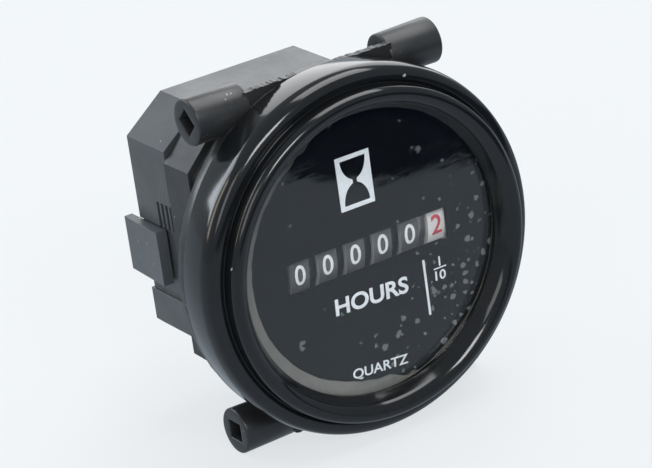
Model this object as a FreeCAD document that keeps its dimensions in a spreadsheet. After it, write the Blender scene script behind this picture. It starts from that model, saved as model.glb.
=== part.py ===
import FreeCAD, Part
import math
import os

import Sketcher
from FreeCAD import Placement, Rotation, Vector

# A round quartz hour meter for panel mounting, built as an assembly of separate pieces.
#
# Frame: +Z up, +X to the reader's right, the dial faces -Y. The origin is on the axis of the
# dial, in the plane of the panel seat, which is the rear face of the rubber mounting ring.
# All sizes are millimetres. Distances called "front" are measured forward from the seat.

SIZES = {
    # bezel
    "bezel_radius": 29.0,
    "skirt_draft": 0.35,
    "skirt_wall": 1.45,
    "shoulder_front": 8.7,
    "shoulder_rounding": 1.9,
    "band_inset": 1.7,
    "band_front": 10.4,
    "groove_inset": 2.8,
    "groove_front": 9.95,
    "roll_rounding": 1.1,
    "roll_front": 12.9,
    "roll_inset": 2.9,
    "lip_inset": 6.6,
    "lip_front": 10.2,
    "hook_reach": 0.65,
    "hook_depth": 0.9,
    "hook_clearance": 0.1,
    # glass, gasket and dial, stacked behind the lip
    "lens_front": 9.5,
    "lens_thickness": 1.2,
    "stack_inset": 4.1,
    "stack_clearance": 0.2,
    "gasket_thickness": 0.5,
    "gasket_width": 1.9,
    "dial_thickness": 0.8,
    "window_left": 14.3,
    "window_right": 15.0,
    "window_top": 2.2,
    "window_bottom": 2.9,
    # front case
    "flange_clearance": 0.15,
    "flange_thickness": 2.4,
    "well_half_width": 16.5,
    "well_half_height": 8.5,
    "neck_half_width": 18.8,
    "neck_half_height": 20.6,
    "neck_wall": 1.05,
    "block_half_width": 19.7,
    "block_half_height": 21.5,
    "block_chamfer_top": 6.7,
    "block_chamfer_bottom": 4.5,
    "block_start": 7.5,
    "seam": 14.7,
    "step_wall": 1.6,
    "parting_groove": 0.4,
    # rear cover
    "cover_half_width": 19.36,
    "cover_top": 21.77,
    "cover_bottom": 15.35,
    "cover_chamfer_across": 7.03,
    "cover_chamfer_down": 5.29,
    "cover_bevel": 1.0,
    "cover_depth": 11.2,
    "cover_wall": 1.6,
    "channel_depth": 0.55,
    "channel_bottom": 9.0,
    "channel_top": 2.9,
    "side_slot_width": 0.75,
    "side_slot_pitch": 1.3,
    "side_slot_depth": 0.6,
    "side_slot_top": 7.15,
    "side_slot_count": 4,
    "side_slot_lead": 0.7,
    "side_slot_overlap": 0.2,
    # snap latches
    "latch_front": 18.2,
    "latch_length": 10.6,
    "latch_top": 2.7,
    "latch_width": 8.9,
    "latch_thick_front": 1.9,
    "latch_thick_rear": 1.4,
    "latch_gap": 0.39,
    "latch_pivot_back": 2.0,
    "latch_pivot_inset": 1.46,
    "knuckle_radius": 0.95,
    "knuckle_width": 4.5,
    "latch_pin_radius": 0.4,
    "pocket_clearance": 0.2,
    "latch_neck_half": 0.6,
    "latch_neck_overlap": 0.3,
    "boss_end_wall": 1.4,
    "boss_side_wall": 0.9,
    "boss_front_wall": 0.8,
    "pin_cover": 0.3,
    # rubber mounting ring and its tubular lugs
    "ring_thickness": 2.5,
    "ring_inset": 0.7,
    "ring_width": 2.0,
    "lug_radius": 3.55,
    "lug_start": 12.6,
    "lug_length": 9.3,
    "lug_inset": 3.1,
    "lug_back": 1.1,
    "lug_slot_tall": 3.0,
    "lug_slot_deep": 3.2,
    "upper_slot_turn": 44.0,
    "lower_slot_turn": 0.0,
    "web_start": 4.0,
    "web_overlap": 1.0,
    "web_inset": 0.4,
    "web_recess": 0.6,
    "seat_relief": 0.3,
    "seat_margin": 0.1,
    # counter
    "wheel_radius": 8.0,
    "wheel_rim": 0.8,
    "wheel_pitch": 5.0,
    "wheel_band": 3.3,
    "wheel_first": -11.35,
    "wheel_dial_gap": 0.3,
    "zone_width": 0.75,
    "zone_gap": 0.25,
    "recess_depth": 2.2,
    "cam_radius": 5.05,
    "shaft_radius": 1.0,
    "pinion_shaft_radius": 0.6,
    "running_clearance": 0.05,
    "sleeve_radius": 1.7,
    "sleeve_clearance": 0.1,
    "count_module": 0.625,
    "count_teeth": 20,
    "transfer_teeth": 8,
    "transfer_width": 1.45,
    "transfer_angle": -60.0,
    # step motor and its reduction
    "drive_module": 0.5,
    "drive_teeth": 28,
    "step_module": 0.4,
    "step_teeth": 30,
    "pinion_teeth": 8,
    "gear_width": 0.75,
    "magnet_radius": 2.4,
    "magnet_width": 1.8,
    "rotor_shaft_radius": 0.4,
    "rotor_tail": 1.8,
    "rotor_end_clearance": 0.05,
    "air_gap": 0.6,
    "stator_thickness": 1.2,
    "stator_left": 12.2,
    "stator_front_wall": 1.3,
    "stator_rear_wall": 2.9,
    "stator_bottom_wall": 0.6,
    "stator_top_wall": 1.2,
    "stator_top": 17.4,
    "core_width": 2.4,
    "core_bar": 1.4,
    "coil_height": 6.0,
    "bobbin_wall": 0.5,
    "bobbin_flange": 0.6,
    "winding_depth": 1.2,
    "winding_inset": 0.2,
    "arbor_overhang": 0.5,
    "spacer_radius": 1.1,
    "upper_spacer_drop": 1.4,
    "lower_spacer_inset": 1.3,
    "bridge_gap": 1.3,
    "bridge_thickness": 0.8,
    "bridge_margin": 1.1,
    "bridge_half_width": 1.4,
    "bridge_leg_place": 0.6,
    "bridge_leg_half": 0.5,
    # counter frame
    "plate_left": 16.6,
    "plate_right": 17.05,
    "plate_thickness": 0.6,
    "plate_height": 12.4,
    "plate_back": 21.0,
    "plate_margin": 1.5,
    "frame_overlap": 0.1,
    "frame_floor": 11.0,
    "frame_floor_thickness": 1.0,
    "ear_width": 5.5,
    "ear_height": 3.5,
    "ear_thickness": 1.2,
    "screw_radius": 0.8,
    "screw_head_radius": 1.5,
    "screw_head_height": 1.0,
    "screw_head_clearance": 0.4,
    "screw_grip": 1.8,
    # electronics and terminals
    "board_back": 20.6,
    "board_thickness": 1.2,
    "board_left": 15.5,
    "board_right": 9.4,
    "board_bottom": 12.5,
    "board_top": 15.5,
    "post_radius": 2.0,
    "post_margin": 0.6,
    "crystal_radius": 1.5,
    "crystal_length": 8.0,
    "crystal_right": -2.0,
    "crystal_up": 7.0,
    "chip_length": 10.0,
    "chip_width": 6.0,
    "chip_height": 2.0,
    "chip_left": -9.0,
    "chip_bottom": -4.0,
    "capacitor_radius": 3.15,
    "capacitor_length": 8.0,
    "capacitor_across": 3.5,
    "capacitor_up": 5.5,
    "resistor_radius": 1.25,
    "resistor_length": 7.0,
    "resistor_left": -9.0,
    "resistor_up": -8.5,
    "terminal_spread": 6.5,
    "terminal_width": 6.3,
    "terminal_thickness": 0.8,
    "terminal_reach": 8.0,
    "terminal_hole_radius": 0.9,
    "terminal_clearance": 0.1,
}


class Term:
    """A length that knows its value and the spreadsheet expression that gives it."""

    def __init__(self, value, text):
        self.value = value
        self.text = text

    def __add__(self, other):
        other = term(other)
        return Term(self.value + other.value, f"({self.text} + {other.text})")

    def __sub__(self, other):
        other = term(other)
        return Term(self.value - other.value, f"({self.text} - {other.text})")

    def __mul__(self, other):
        other = term(other)
        return Term(self.value * other.value, f"({self.text} * {other.text})")

    def __truediv__(self, other):
        other = term(other)
        return Term(self.value / other.value, f"({self.text} / {other.text})")

    def __neg__(self):
        return Term(-self.value, f"(-1 * {self.text})")

    __radd__ = __add__
    __rmul__ = __mul__

    def __rsub__(self, other):
        return term(other) - self


def term(thing):
    """A plain number as a Term; a Term stays as it is."""
    return thing if isinstance(thing, Term) else Term(float(thing), f"({float(thing)})")


def root(thing):
    return Term(math.sqrt(thing.value), f"sqrt({thing.text})")


def size(name):
    """The driving dimension of that name, tied to its cell."""
    return Term(SIZES[name], f"Sizes.{name}")


class Circle:
    """A full circle in an outline."""

    def __init__(self, across, up, radius):
        self.across = term(across)
        self.up = term(up)
        self.radius = term(radius)


class Bend:
    """Marks the stretch to the next point as an arc; it bulges left or right of the way."""

    def __init__(self, radius, left):
        self.radius = term(radius)
        self.left = left


doc = FreeCAD.newDocument("HourMeter")
sheet = doc.addObject("Spreadsheet::Sheet", "Sizes")
for row, (name, value) in enumerate(SIZES.items(), start=1):
    sheet.set(f"A{row}", name)
    sheet.set(f"B{row}", str(value))
    sheet.setAlias(f"B{row}", name)
doc.recompute()

PARTS = []

# Gear teeth, as shares of the module.
ROOT_DEPTH = 1.05
TIP_HEIGHT = 0.75
ROOT_HALF_WIDTH = 0.74
TIP_HALF_WIDTH = 0.34
TOOTH_OVERLAP = 0.2

PLANES = {"X": "YZ_Plane", "Y": "XZ_Plane", "Z": "XY_Plane"}


# ---------------------------------------------------------------- sketching helpers


def new_body(label):
    """An empty body that becomes the part called label."""
    body = doc.addObject("PartDesign::Body", label)
    body.Label = label
    PARTS.append(body)
    return body


def bind(sketch, kind, *reference):
    """Adds one dimension to the sketch, tied to the Term that comes last."""
    *where, length = reference
    index = sketch.addConstraint(Sketcher.Constraint(kind, *where, length.value))
    name = f"size{index}"
    sketch.renameConstraint(index, name)
    sketch.setExpression(f"Constraints.{name}", length.text)


def pin_point(sketch, line, end, across, up):
    bind(sketch, "DistanceX", -1, 1, line, end, across)
    bind(sketch, "DistanceY", -1, 1, line, end, up)


def bend_arc(start, end, bend):
    """The arc from start to end that bulges to the side the bend names."""
    chord = end - start
    middle = (start + end) * 0.5
    side = Vector(-chord.y, chord.x, 0).normalize() * (-1 if bend.left else 1)
    rise = math.sqrt(bend.radius.value**2 - (chord.Length / 2) ** 2)
    centre = middle + side * rise
    top = centre - side * bend.radius.value
    return Part.Arc(start, top, end)


def add_loop(sketch, loop):
    """Draws a closed loop of points, with a Bend between two points where it is round."""
    corners = [item for item in loop if not isinstance(item, Bend)]
    corners = [(term(across), term(up)) for across, up in corners]
    places = [Vector(across.value, up.value, 0) for across, up in corners]
    bends = {}
    count = 0
    for item in loop:
        if isinstance(item, Bend):
            bends[count - 1] = item
        else:
            count += 1
    lines = []
    for index, place in enumerate(places):
        target = places[(index + 1) % count]
        if index in bends:
            edge = bend_arc(place, target, bends[index])
        else:
            edge = Part.LineSegment(place, target)
        lines.append(sketch.addGeometry(edge, False))
    ends = []
    for index, line in enumerate(lines):
        forward = sketch.getPoint(line, 1).distanceToPoint(places[index]) < 1e-6
        ends.append((1, 2) if forward else (2, 1))
    for index, line in enumerate(lines):
        following = (index + 1) % count
        joint = (line, ends[index][1], lines[following], ends[following][0])
        sketch.addConstraint(Sketcher.Constraint("Coincident", *joint))
    for index, line in enumerate(lines):
        pin_point(sketch, line, ends[index][0], *corners[index])
    for index, bend in bends.items():
        bind(sketch, "Radius", lines[index], bend.radius)


def add_circle(sketch, circle):
    centre = Vector(circle.across.value, circle.up.value, 0)
    shape = Part.Circle(centre, Vector(0, 0, 1), circle.radius.value)
    line = sketch.addGeometry(shape, False)
    pin_point(sketch, line, 3, circle.across, circle.up)
    bind(sketch, "Radius", line, circle.radius)


def draw(body, axis, offset, loops):
    """A sketch square to the axis, moved along the plane's own normal by offset."""
    sketch = body.newObject("Sketcher::SketchObject", f"{body.Name}_outline")
    role = PLANES[axis]
    plane = [item for item in body.Origin.OriginFeatures if item.Role == role][0]
    sketch.AttachmentSupport = [(plane, "")]
    sketch.MapMode = "FlatFace"
    sketch.setExpression("AttachmentOffset.Base.z", offset.text)
    for loop in loops:
        if isinstance(loop, Circle):
            add_circle(sketch, loop)
        else:
            add_loop(sketch, loop)
    return sketch


def add(body, axis, low, high, *loops):
    """Adds material between low and high along the axis."""
    low, high = term(low), term(high)
    offset = -high if axis == "Y" else low
    sketch = draw(body, axis, offset, loops)
    pad = body.newObject("PartDesign::Pad", f"{body.Name}_pad")
    pad.Profile = sketch
    pad.setExpression("Length", (high - low).text)
    return pad


def cut(body, axis, low, high, *loops):
    """Removes material between low and high along the axis."""
    low, high = term(low), term(high)
    offset = -low if axis == "Y" else high
    sketch = draw(body, axis, offset, loops)
    pocket = body.newObject("PartDesign::Pocket", f"{body.Name}_pocket")
    pocket.Profile = sketch
    pocket.setExpression("Length", (high - low).text)
    return pocket


def repeat_round(body, feature, count):
    """Repeats a feature evenly round the body's own Z axis."""
    axis = [item for item in body.Origin.OriginFeatures if item.Role == "Z_Axis"][0]
    pattern = body.newObject("PartDesign::PolarPattern", f"{body.Name}_round")
    pattern.Originals = [feature]
    pattern.Axis = (axis, [""])
    pattern.Angle = 360
    pattern.setExpression("Occurrences", count.text)
    body.Tip = pattern


def repeat_along_y(body, feature, count, pitch):
    """Repeats a feature along the body's Y axis."""
    axis = [item for item in body.Origin.OriginFeatures if item.Role == "Y_Axis"][0]
    pattern = body.newObject("PartDesign::LinearPattern", f"{body.Name}_row")
    pattern.Originals = [feature]
    pattern.Direction = (axis, [""])
    pattern.setExpression("Occurrences", count.text)
    pattern.setExpression("Length", (pitch * (count - 1)).text)
    body.Tip = pattern


def rectangle(left, right, bottom, top):
    return [(left, bottom), (right, bottom), (right, top), (left, top)]


def octagon(half_width, top, bottom, upper, lower):
    """An upright outline with cut corners; upper and lower are (across, down) pairs."""
    right = [
        (half_width - lower[0], -bottom),
        (half_width, lower[1] - bottom),
        (half_width, top - upper[1]),
        (half_width - upper[0], top),
    ]
    left = [(-across, up) for across, up in reversed(right)]
    return right + left


def inner_corner(across, down, wall):
    """The cut corner that leaves the same wall inside an outer cut corner."""
    slope = root(across * across + down * down)
    inner_across = across - wall * (1 - (slope - across) / down)
    inner_down = down - wall * (1 - (slope - down) / across)
    return inner_across, inner_down


def along_x(body, x, y, z, turn=0.0):
    """Lays a body drawn about its own Z axis along X, turned from +Y towards +Z."""
    lay = Rotation(Vector(0, 1, 0), Vector(0, 0, 1), Vector(1, 0, 0), "XYZ")
    spin = Rotation(Vector(0, 0, 1), turn)
    body.Placement = Placement(Vector(0, 0, 0), lay.multiply(spin))
    for name, value in (("x", x), ("y", y), ("z", z)):
        body.setExpression(f"Placement.Base.{name}", term(value).text)


# ---------------------------------------------------------------- shared places

SKIRT_INSIDE = size("bezel_radius") - size("skirt_wall")
BAND_RADIUS = size("bezel_radius") - size("band_inset")
GROOVE_RADIUS = size("bezel_radius") - size("groove_inset")
ROLL_RADIUS = size("bezel_radius") - size("roll_inset")
LIP_RADIUS = size("bezel_radius") - size("lip_inset")
STACK_RADIUS = size("bezel_radius") - size("stack_inset")
FLANGE_RADIUS = SKIRT_INSIDE - size("flange_clearance")
RING_OUTSIDE = size("bezel_radius") - size("ring_inset")
RING_INSIDE = RING_OUTSIDE - size("ring_width")
LUG_HEIGHT = RING_OUTSIDE - size("lug_inset")
WEB_HEIGHT = RING_OUTSIDE - size("web_inset")
RING_FRONT = -size("ring_thickness")
LENS_FRONT = -size("lens_front")
LENS_BACK = LENS_FRONT + size("lens_thickness")
DIAL_FRONT = LENS_BACK + size("gasket_thickness")
DIAL_BACK = DIAL_FRONT + size("dial_thickness")
FLANGE_BACK = DIAL_BACK + size("flange_thickness")
SEAM = size("seam")
COVER_BACK = SEAM + size("cover_depth")
COVER_INSIDE = COVER_BACK - size("cover_wall")
CAVITY_HALF = size("neck_half_width") - size("neck_wall")
CAVITY_HEIGHT = size("neck_half_height") - size("neck_wall")
CAVITY_CHAMFER = inner_corner(
    size("block_chamfer_top"), size("block_chamfer_top"), size("neck_wall")
)
WHEEL_AXIS = DIAL_BACK + size("wheel_dial_gap") + size("wheel_radius")
BOARD_FRONT = size("board_back") - size("board_thickness")

TRANSFER_DISTANCE = size("count_module") * (size("count_teeth") + size("transfer_teeth")) / 2
TRANSFER_TURN = math.radians(SIZES["transfer_angle"])
TRANSFER_BACK = WHEEL_AXIS + TRANSFER_DISTANCE * math.cos(TRANSFER_TURN)
TRANSFER_UP = TRANSFER_DISTANCE * math.sin(TRANSFER_TURN)

DRIVE_DISTANCE = size("drive_module") * (size("drive_teeth") + size("pinion_teeth")) / 2
IDLER_BACK = WHEEL_AXIS + DRIVE_DISTANCE
IDLER_TURN = 180.0 + 180.0 / SIZES["pinion_teeth"]
STEP_DISTANCE = size("step_module") * (size("step_teeth") + size("pinion_teeth")) / 2
# The rotor stands where one of the idler's big teeth points, so that both gears mesh.
ROTOR_TURN = IDLER_TURN - 13 * 360.0 / SIZES["step_teeth"]
ROTOR_BACK = IDLER_BACK + STEP_DISTANCE * math.cos(math.radians(ROTOR_TURN))
ROTOR_UP = STEP_DISTANCE * math.sin(math.radians(ROTOR_TURN))

LAST_WHEEL = size("wheel_first") + 5 * size("wheel_pitch")
DRIVE_LEFT = LAST_WHEEL + size("wheel_band") / 2
DRIVE_RIGHT = DRIVE_LEFT + size("gear_width")
STEP_RIGHT = size("plate_right") - size("zone_gap") / 2
STEP_LEFT = STEP_RIGHT - size("gear_width")
STATOR_LEFT = size("stator_left")
STATOR_RIGHT = STATOR_LEFT + size("stator_thickness")


# ---------------------------------------------------------------- front: bezel, glass, dial


def bezel():
    body = new_body("bezel")
    stack = STACK_RADIUS + size("stack_clearance")
    hook_front = FLANGE_BACK + size("hook_clearance")
    hook_back = hook_front + size("hook_depth")
    hook_radius = SKIRT_INSIDE - size("hook_reach")
    crest = ROLL_RADIUS - size("roll_rounding")
    profile = [
        (SKIRT_INSIDE, RING_FRONT),
        (size("bezel_radius") - size("skirt_draft"), RING_FRONT),
        (size("bezel_radius"), -size("shoulder_front")),
        Bend(size("shoulder_rounding"), left=False),
        (BAND_RADIUS, -size("band_front")),
        (GROOVE_RADIUS, -size("groove_front")),
        (ROLL_RADIUS, size("roll_rounding") - size("roll_front")),
        Bend(size("roll_rounding"), left=False),
        (crest, -size("roll_front")),
        (LIP_RADIUS, -size("lip_front")),
        (LIP_RADIUS, LENS_FRONT),
        (stack, LENS_FRONT),
        (stack, DIAL_BACK),
        (SKIRT_INSIDE, DIAL_BACK),
        (SKIRT_INSIDE, hook_front),
        (hook_radius, hook_front),
        (hook_radius, hook_back),
    ]
    sketch = draw(body, "Z", term(0), [profile])
    turned = body.newObject("PartDesign::Revolution", "bezel_turned")
    turned.Profile = sketch
    turned.ReferenceAxis = (sketch, ["V_Axis"])
    turned.Angle = 360


def lens():
    body = new_body("lens")
    add(body, "Y", LENS_FRONT, LENS_BACK, Circle(0, 0, STACK_RADIUS))


def lens_gasket():
    body = new_body("lens_gasket")
    outer = Circle(0, 0, STACK_RADIUS)
    inner = Circle(0, 0, STACK_RADIUS - size("gasket_width"))
    add(body, "Y", LENS_BACK, DIAL_FRONT, outer, inner)


def dial_plate():
    body = new_body("dial_plate")
    window = rectangle(
        -size("window_left"), size("window_right"), -size("window_bottom"), size("window_top")
    )
    add(body, "Y", DIAL_FRONT, DIAL_BACK, Circle(0, 0, STACK_RADIUS), window)


# ---------------------------------------------------------------- case


def channel_floor(half_width):
    return half_width - size("channel_depth")


def front_case():
    body = new_body("front_case")
    chamfer = size("block_chamfer_top")
    neck = octagon(
        size("neck_half_width"),
        size("neck_half_height"),
        size("neck_half_height"),
        (chamfer, chamfer),
        (chamfer, chamfer),
    )
    block = octagon(
        size("block_half_width"),
        size("block_half_height"),
        size("block_half_height"),
        (chamfer, chamfer),
        (size("block_chamfer_bottom"), size("block_chamfer_bottom")),
    )
    cavity = octagon(CAVITY_HALF, CAVITY_HEIGHT, CAVITY_HEIGHT, CAVITY_CHAMFER, CAVITY_CHAMFER)
    mouth_floor = size("cover_bottom") - size("cover_wall")
    bevel = (size("cover_bevel"), size("cover_bevel"))
    mouth = octagon(CAVITY_HALF, CAVITY_HEIGHT, mouth_floor, CAVITY_CHAMFER, bevel)
    well = rectangle(
        -size("well_half_width"),
        size("well_half_width"),
        -size("well_half_height"),
        size("well_half_height"),
    )
    add(body, "Y", DIAL_BACK, FLANGE_BACK, Circle(0, 0, FLANGE_RADIUS))
    add(body, "Y", FLANGE_BACK, size("block_start"), neck)
    add(body, "Y", size("block_start"), SEAM, block)
    cut(body, "Y", FLANGE_BACK, SEAM - size("step_wall"), cavity)
    cut(body, "Y", SEAM - size("step_wall"), SEAM, mouth)
    cut(body, "Y", DIAL_BACK, FLANGE_BACK, well)
    for x, z in ear_centres():
        hole = Circle(x, z, size("screw_radius"))
        cut(body, "Y", FLANGE_BACK - size("screw_grip"), FLANGE_BACK, hole)
    for side in (-1, 1):
        outer = side * size("block_half_width")
        floor = side * (size("block_half_width") - size("channel_depth") / 2)
        line = -size("channel_bottom")
        groove = ordered(outer, floor, line - size("parting_groove"), line)
        cut(body, "Y", size("block_start"), SEAM, groove)


def ordered(first, second, third, fourth):
    """A rectangle whose sides may be given in either order."""
    left, right = sorted((term(first), term(second)), key=lambda item: item.value)
    bottom, top = sorted((term(third), term(fourth)), key=lambda item: item.value)
    return rectangle(left, right, bottom, top)


def rear_cover():
    body = new_body("rear_cover")
    half = size("cover_half_width")
    wall = size("cover_wall")
    upper = (size("cover_chamfer_across"), size("cover_chamfer_down"))
    bevel = (size("cover_bevel"), size("cover_bevel"))
    outline = octagon(half, size("cover_top"), size("cover_bottom"), upper, bevel)
    inside = octagon(
        half - wall,
        size("cover_top") - wall,
        size("cover_bottom") - wall,
        inner_corner(*upper, wall),
        bevel,
    )
    add(body, "Y", SEAM, COVER_BACK, outline)
    cut(body, "Y", SEAM, COVER_INSIDE, inside)
    for x, z in post_centres():
        add(body, "Y", size("board_back"), COVER_INSIDE, Circle(x, z, size("post_radius")))
        cut(body, "Y", size("board_back"), COVER_INSIDE, Circle(x, z, size("screw_radius")))
    for side in (-1, 1):
        latch_seat(body, side)
    for x in (-size("terminal_spread"), size("terminal_spread")):
        cut(body, "Y", COVER_INSIDE, COVER_BACK, blade_outline(x, size("terminal_clearance")))
    for side in (-1, 1):
        row_length = size("side_slot_pitch") * (size("side_slot_count") - 1)
        slot_low = size("latch_front") + size("side_slot_lead") - row_length
        slot_high = slot_low + size("side_slot_width")
        outline = ordered(side * half, side * (half - size("side_slot_depth")), slot_low, slot_high)
        slot_bottom = size("channel_top") - size("side_slot_overlap")
        slot = cut(body, "Z", slot_bottom, size("side_slot_top"), outline)
        repeat_along_y(body, slot, size("side_slot_count"), size("side_slot_pitch"))


def latch_seat(body, side):
    """The side channel, the inner boss and the pocket that carry one snap latch."""
    half = size("cover_half_width")
    pivot_x = side * (half - size("latch_pivot_inset"))
    pivot_y = COVER_BACK - size("latch_pivot_back")
    reach = size("knuckle_radius") + size("pocket_clearance")
    middle = size("latch_top") - size("latch_width") / 2
    pocket_half = size("knuckle_width") / 2 + size("pocket_clearance")
    boss_half = pocket_half + size("boss_end_wall")
    boss_in = pivot_x - side * (reach + size("boss_side_wall"))
    boss_front = pivot_y - reach - size("boss_front_wall")
    wall_in = side * (half - size("cover_wall"))
    boss = ordered(boss_in, wall_in, boss_front, COVER_INSIDE)
    add(body, "Z", middle - boss_half, middle + boss_half, boss)
    channel = ordered(side * half, side * channel_floor(half), SEAM, COVER_BACK)
    cut(body, "Z", -size("channel_bottom"), size("channel_top"), channel)
    pocket = ordered(
        pivot_x - side * reach, side * channel_floor(half), pivot_y - reach, pivot_y + reach
    )
    cut(body, "Z", middle - pocket_half, middle + pocket_half, pocket)
    pin_half = boss_half - size("pin_cover")
    bore = Circle(pivot_x, pivot_y, size("latch_pin_radius"))
    cut(body, "Z", middle - pin_half, middle + pin_half, bore)


def side_latch(label, side):
    body = new_body(label)
    half = size("cover_half_width")
    inner = side * (channel_floor(half) + size("latch_gap"))
    front = size("latch_front")
    back = front + size("latch_length")
    bottom = size("latch_top") - size("latch_width")
    middle = size("latch_top") - size("latch_width") / 2
    pivot_x = side * (half - size("latch_pivot_inset"))
    pivot_y = COVER_BACK - size("latch_pivot_back")
    blade = [
        (inner, front),
        (inner + side * size("latch_thick_front"), front),
        (inner + side * size("latch_thick_rear"), back),
        (inner, back),
    ]
    if side < 0:
        blade.reverse()
    add(body, "Z", bottom, size("latch_top"), blade)
    knuckle_half = size("knuckle_width") / 2
    neck_half = size("latch_neck_half")
    neck_out = inner + side * size("latch_neck_overlap")
    neck = ordered(neck_out, pivot_x, pivot_y - neck_half, pivot_y + neck_half)
    add(body, "Z", middle - knuckle_half, middle + knuckle_half, neck)
    knuckle = Circle(pivot_x, pivot_y, size("knuckle_radius"))
    add(body, "Z", middle - knuckle_half, middle + knuckle_half, knuckle)
    bore = Circle(pivot_x, pivot_y, size("latch_pin_radius") + size("running_clearance"))
    cut(body, "Z", middle - knuckle_half, middle + knuckle_half, bore)


def latch_pin(label, side):
    body = new_body(label)
    middle = size("latch_top") - size("latch_width") / 2
    pocket_half = size("knuckle_width") / 2 + size("pocket_clearance")
    half = pocket_half + size("boss_end_wall") - size("pin_cover")
    pivot_x = side * (size("cover_half_width") - size("latch_pivot_inset"))
    pivot_y = COVER_BACK - size("latch_pivot_back")
    pin = Circle(pivot_x, pivot_y, size("latch_pin_radius"))
    add(body, "Z", middle - half, middle + half, pin)


def mounting_ring():
    """The ring, its upper and lower webs and four tubes, each with a rectangular hole.

    The seat round each tube is relieved, so that a panel lies on the flat ring alone.
    """
    body = new_body("mounting_ring")
    hole = Circle(0, 0, RING_INSIDE)
    add(body, "Y", RING_FRONT, term(0), Circle(0, 0, RING_OUTSIDE), hole)
    inner_end = size("lug_start")
    outer_end = inner_end + size("lug_length")
    radius = size("lug_radius")
    back = size("lug_back")
    reach = radius + size("seat_margin")
    recess = size("web_recess")
    turns = {1: SIZES["upper_slot_turn"], -1: SIZES["lower_slot_turn"]}
    corners = [(across, up) for across in (-1, 1) for up in (-1, 1)]
    for across, up in corners:
        near, far = across * (inner_end - size("seat_margin")), across * outer_end
        relief = ordered(near, far, up * (LUG_HEIGHT - reach), up * (LUG_HEIGHT + reach))
        cut(body, "Y", -size("seat_relief"), term(0), relief)
    for across, up in corners:
        height = up * LUG_HEIGHT
        web_end = across * (inner_end + size("web_overlap"))
        web_low = up * (LUG_HEIGHT - size("web_overlap"))
        web = ordered(across * size("web_start"), web_end, web_low, up * WEB_HEIGHT)
        add(body, "Y", RING_FRONT + recess, -recess, web)
        low, high = ends_along(across, inner_end, outer_end)
        add(body, "X", low, high, Circle(back, height, radius))
        cut(body, "X", low, high, lug_hole(back, height, turns[up]))
    cut(body, "Y", RING_FRONT, term(0), hole)


def ends_along(across, near, far):
    """Low and high X of a stretch on the side that across names."""
    return (near, far) if across > 0 else (-far, -near)


def lug_hole(back, height, turn):
    """The rectangular hole of a lug, turned about the lug's own axis."""
    cosine = math.cos(math.radians(turn))
    sine = math.sin(math.radians(turn))
    half_deep = size("lug_slot_deep") / 2
    half_tall = size("lug_slot_tall") / 2
    corners = [(-1, -1), (1, -1), (1, 1), (-1, 1)]
    return [
        (
            back + deep * half_deep * cosine - tall * half_tall * sine,
            height + deep * half_deep * sine + tall * half_tall * cosine,
        )
        for deep, tall in corners
    ]


# ---------------------------------------------------------------- counter


def toothed_disc(body, low, high, module, teeth, turn=0.0):
    """A spur gear about the body's own Z axis; the first tooth points at turn degrees."""
    pitch_radius = module * teeth / 2
    root_radius = pitch_radius - module * ROOT_DEPTH
    tip_radius = pitch_radius + module * TIP_HEIGHT
    add(body, "Z", low, high, Circle(0, 0, root_radius))
    root_half = module * ROOT_HALF_WIDTH
    tip_half = module * TIP_HALF_WIDTH
    base = root_radius - module * TOOTH_OVERLAP
    cosine = math.cos(math.radians(turn))
    sine = math.sin(math.radians(turn))
    right = [(base, -root_half), (tip_radius, -tip_half)]
    left = [(tip_radius, tip_half), (base, root_half)]
    tooth = [
        (out * cosine - side * sine, out * sine + side * cosine) for out, side in right + left
    ]
    feature = add(body, "Z", low, high, tooth)
    repeat_round(body, feature, teeth)


def bore(body, low, high, radius):
    cut(body, "Z", low, high, Circle(0, 0, radius + size("running_clearance")))


def digit_band(body):
    """The printed rim, recessed on its left side round the carry cam."""
    half = size("wheel_band") / 2
    cam = size("cam_radius")
    add(body, "Z", -half, half, Circle(0, 0, size("wheel_radius")))
    rim_inside = Circle(0, 0, size("wheel_radius") - size("wheel_rim"))
    cut(body, "Z", -half, size("recess_depth") - half, rim_inside, Circle(0, 0, cam))
    add(body, "Z", -half - size("zone_width"), -half, Circle(0, 0, cam))
    return half


def digit_wheel(label, index):
    body = new_body(label)
    half = digit_band(body)
    right = half + size("zone_width")
    toothed_disc(body, half, right, size("count_module"), size("count_teeth"))
    bore(body, -half - size("zone_width"), right, size("shaft_radius"))
    along_x(
        body, size("wheel_first") + index * size("wheel_pitch"), WHEEL_AXIS, 0,
        SIZES["transfer_angle"],
    )


def tenths_wheel():
    body = new_body("tenths_wheel")
    half = digit_band(body)
    right = half + size("gear_width")
    toothed_disc(body, half, right, size("drive_module"), size("drive_teeth"))
    bore(body, -half - size("zone_width"), right, size("shaft_radius"))
    along_x(body, LAST_WHEEL, WHEEL_AXIS, 0)


def transfer_pinion(label, index):
    body = new_body(label)
    half = size("transfer_width") / 2
    toothed_disc(body, -half, half, size("count_module"), size("transfer_teeth"))
    bore(body, -half, half, size("pinion_shaft_radius"))
    turn = SIZES["transfer_angle"] + 180.0 + 180.0 / SIZES["transfer_teeth"]
    middle = size("wheel_first") + (index + 0.5) * size("wheel_pitch")
    along_x(body, middle, TRANSFER_BACK, TRANSFER_UP, turn)


def rod(label, radius, left, right, back, up):
    body = new_body(label)
    add(body, "X", left, right, Circle(back, up, radius))
    return body


def plate_outline(back):
    front = FLANGE_BACK
    return rectangle(front, back, -size("plate_height"), size("plate_height"))


def ear_centres():
    """The four screws that hold the counter frame to the case flange."""
    x = size("plate_left") - size("ear_width") / 2
    z = size("plate_height") - size("ear_height") / 2
    return [(-x, -z), (x, -z), (-x, z), (x, z)]


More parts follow.
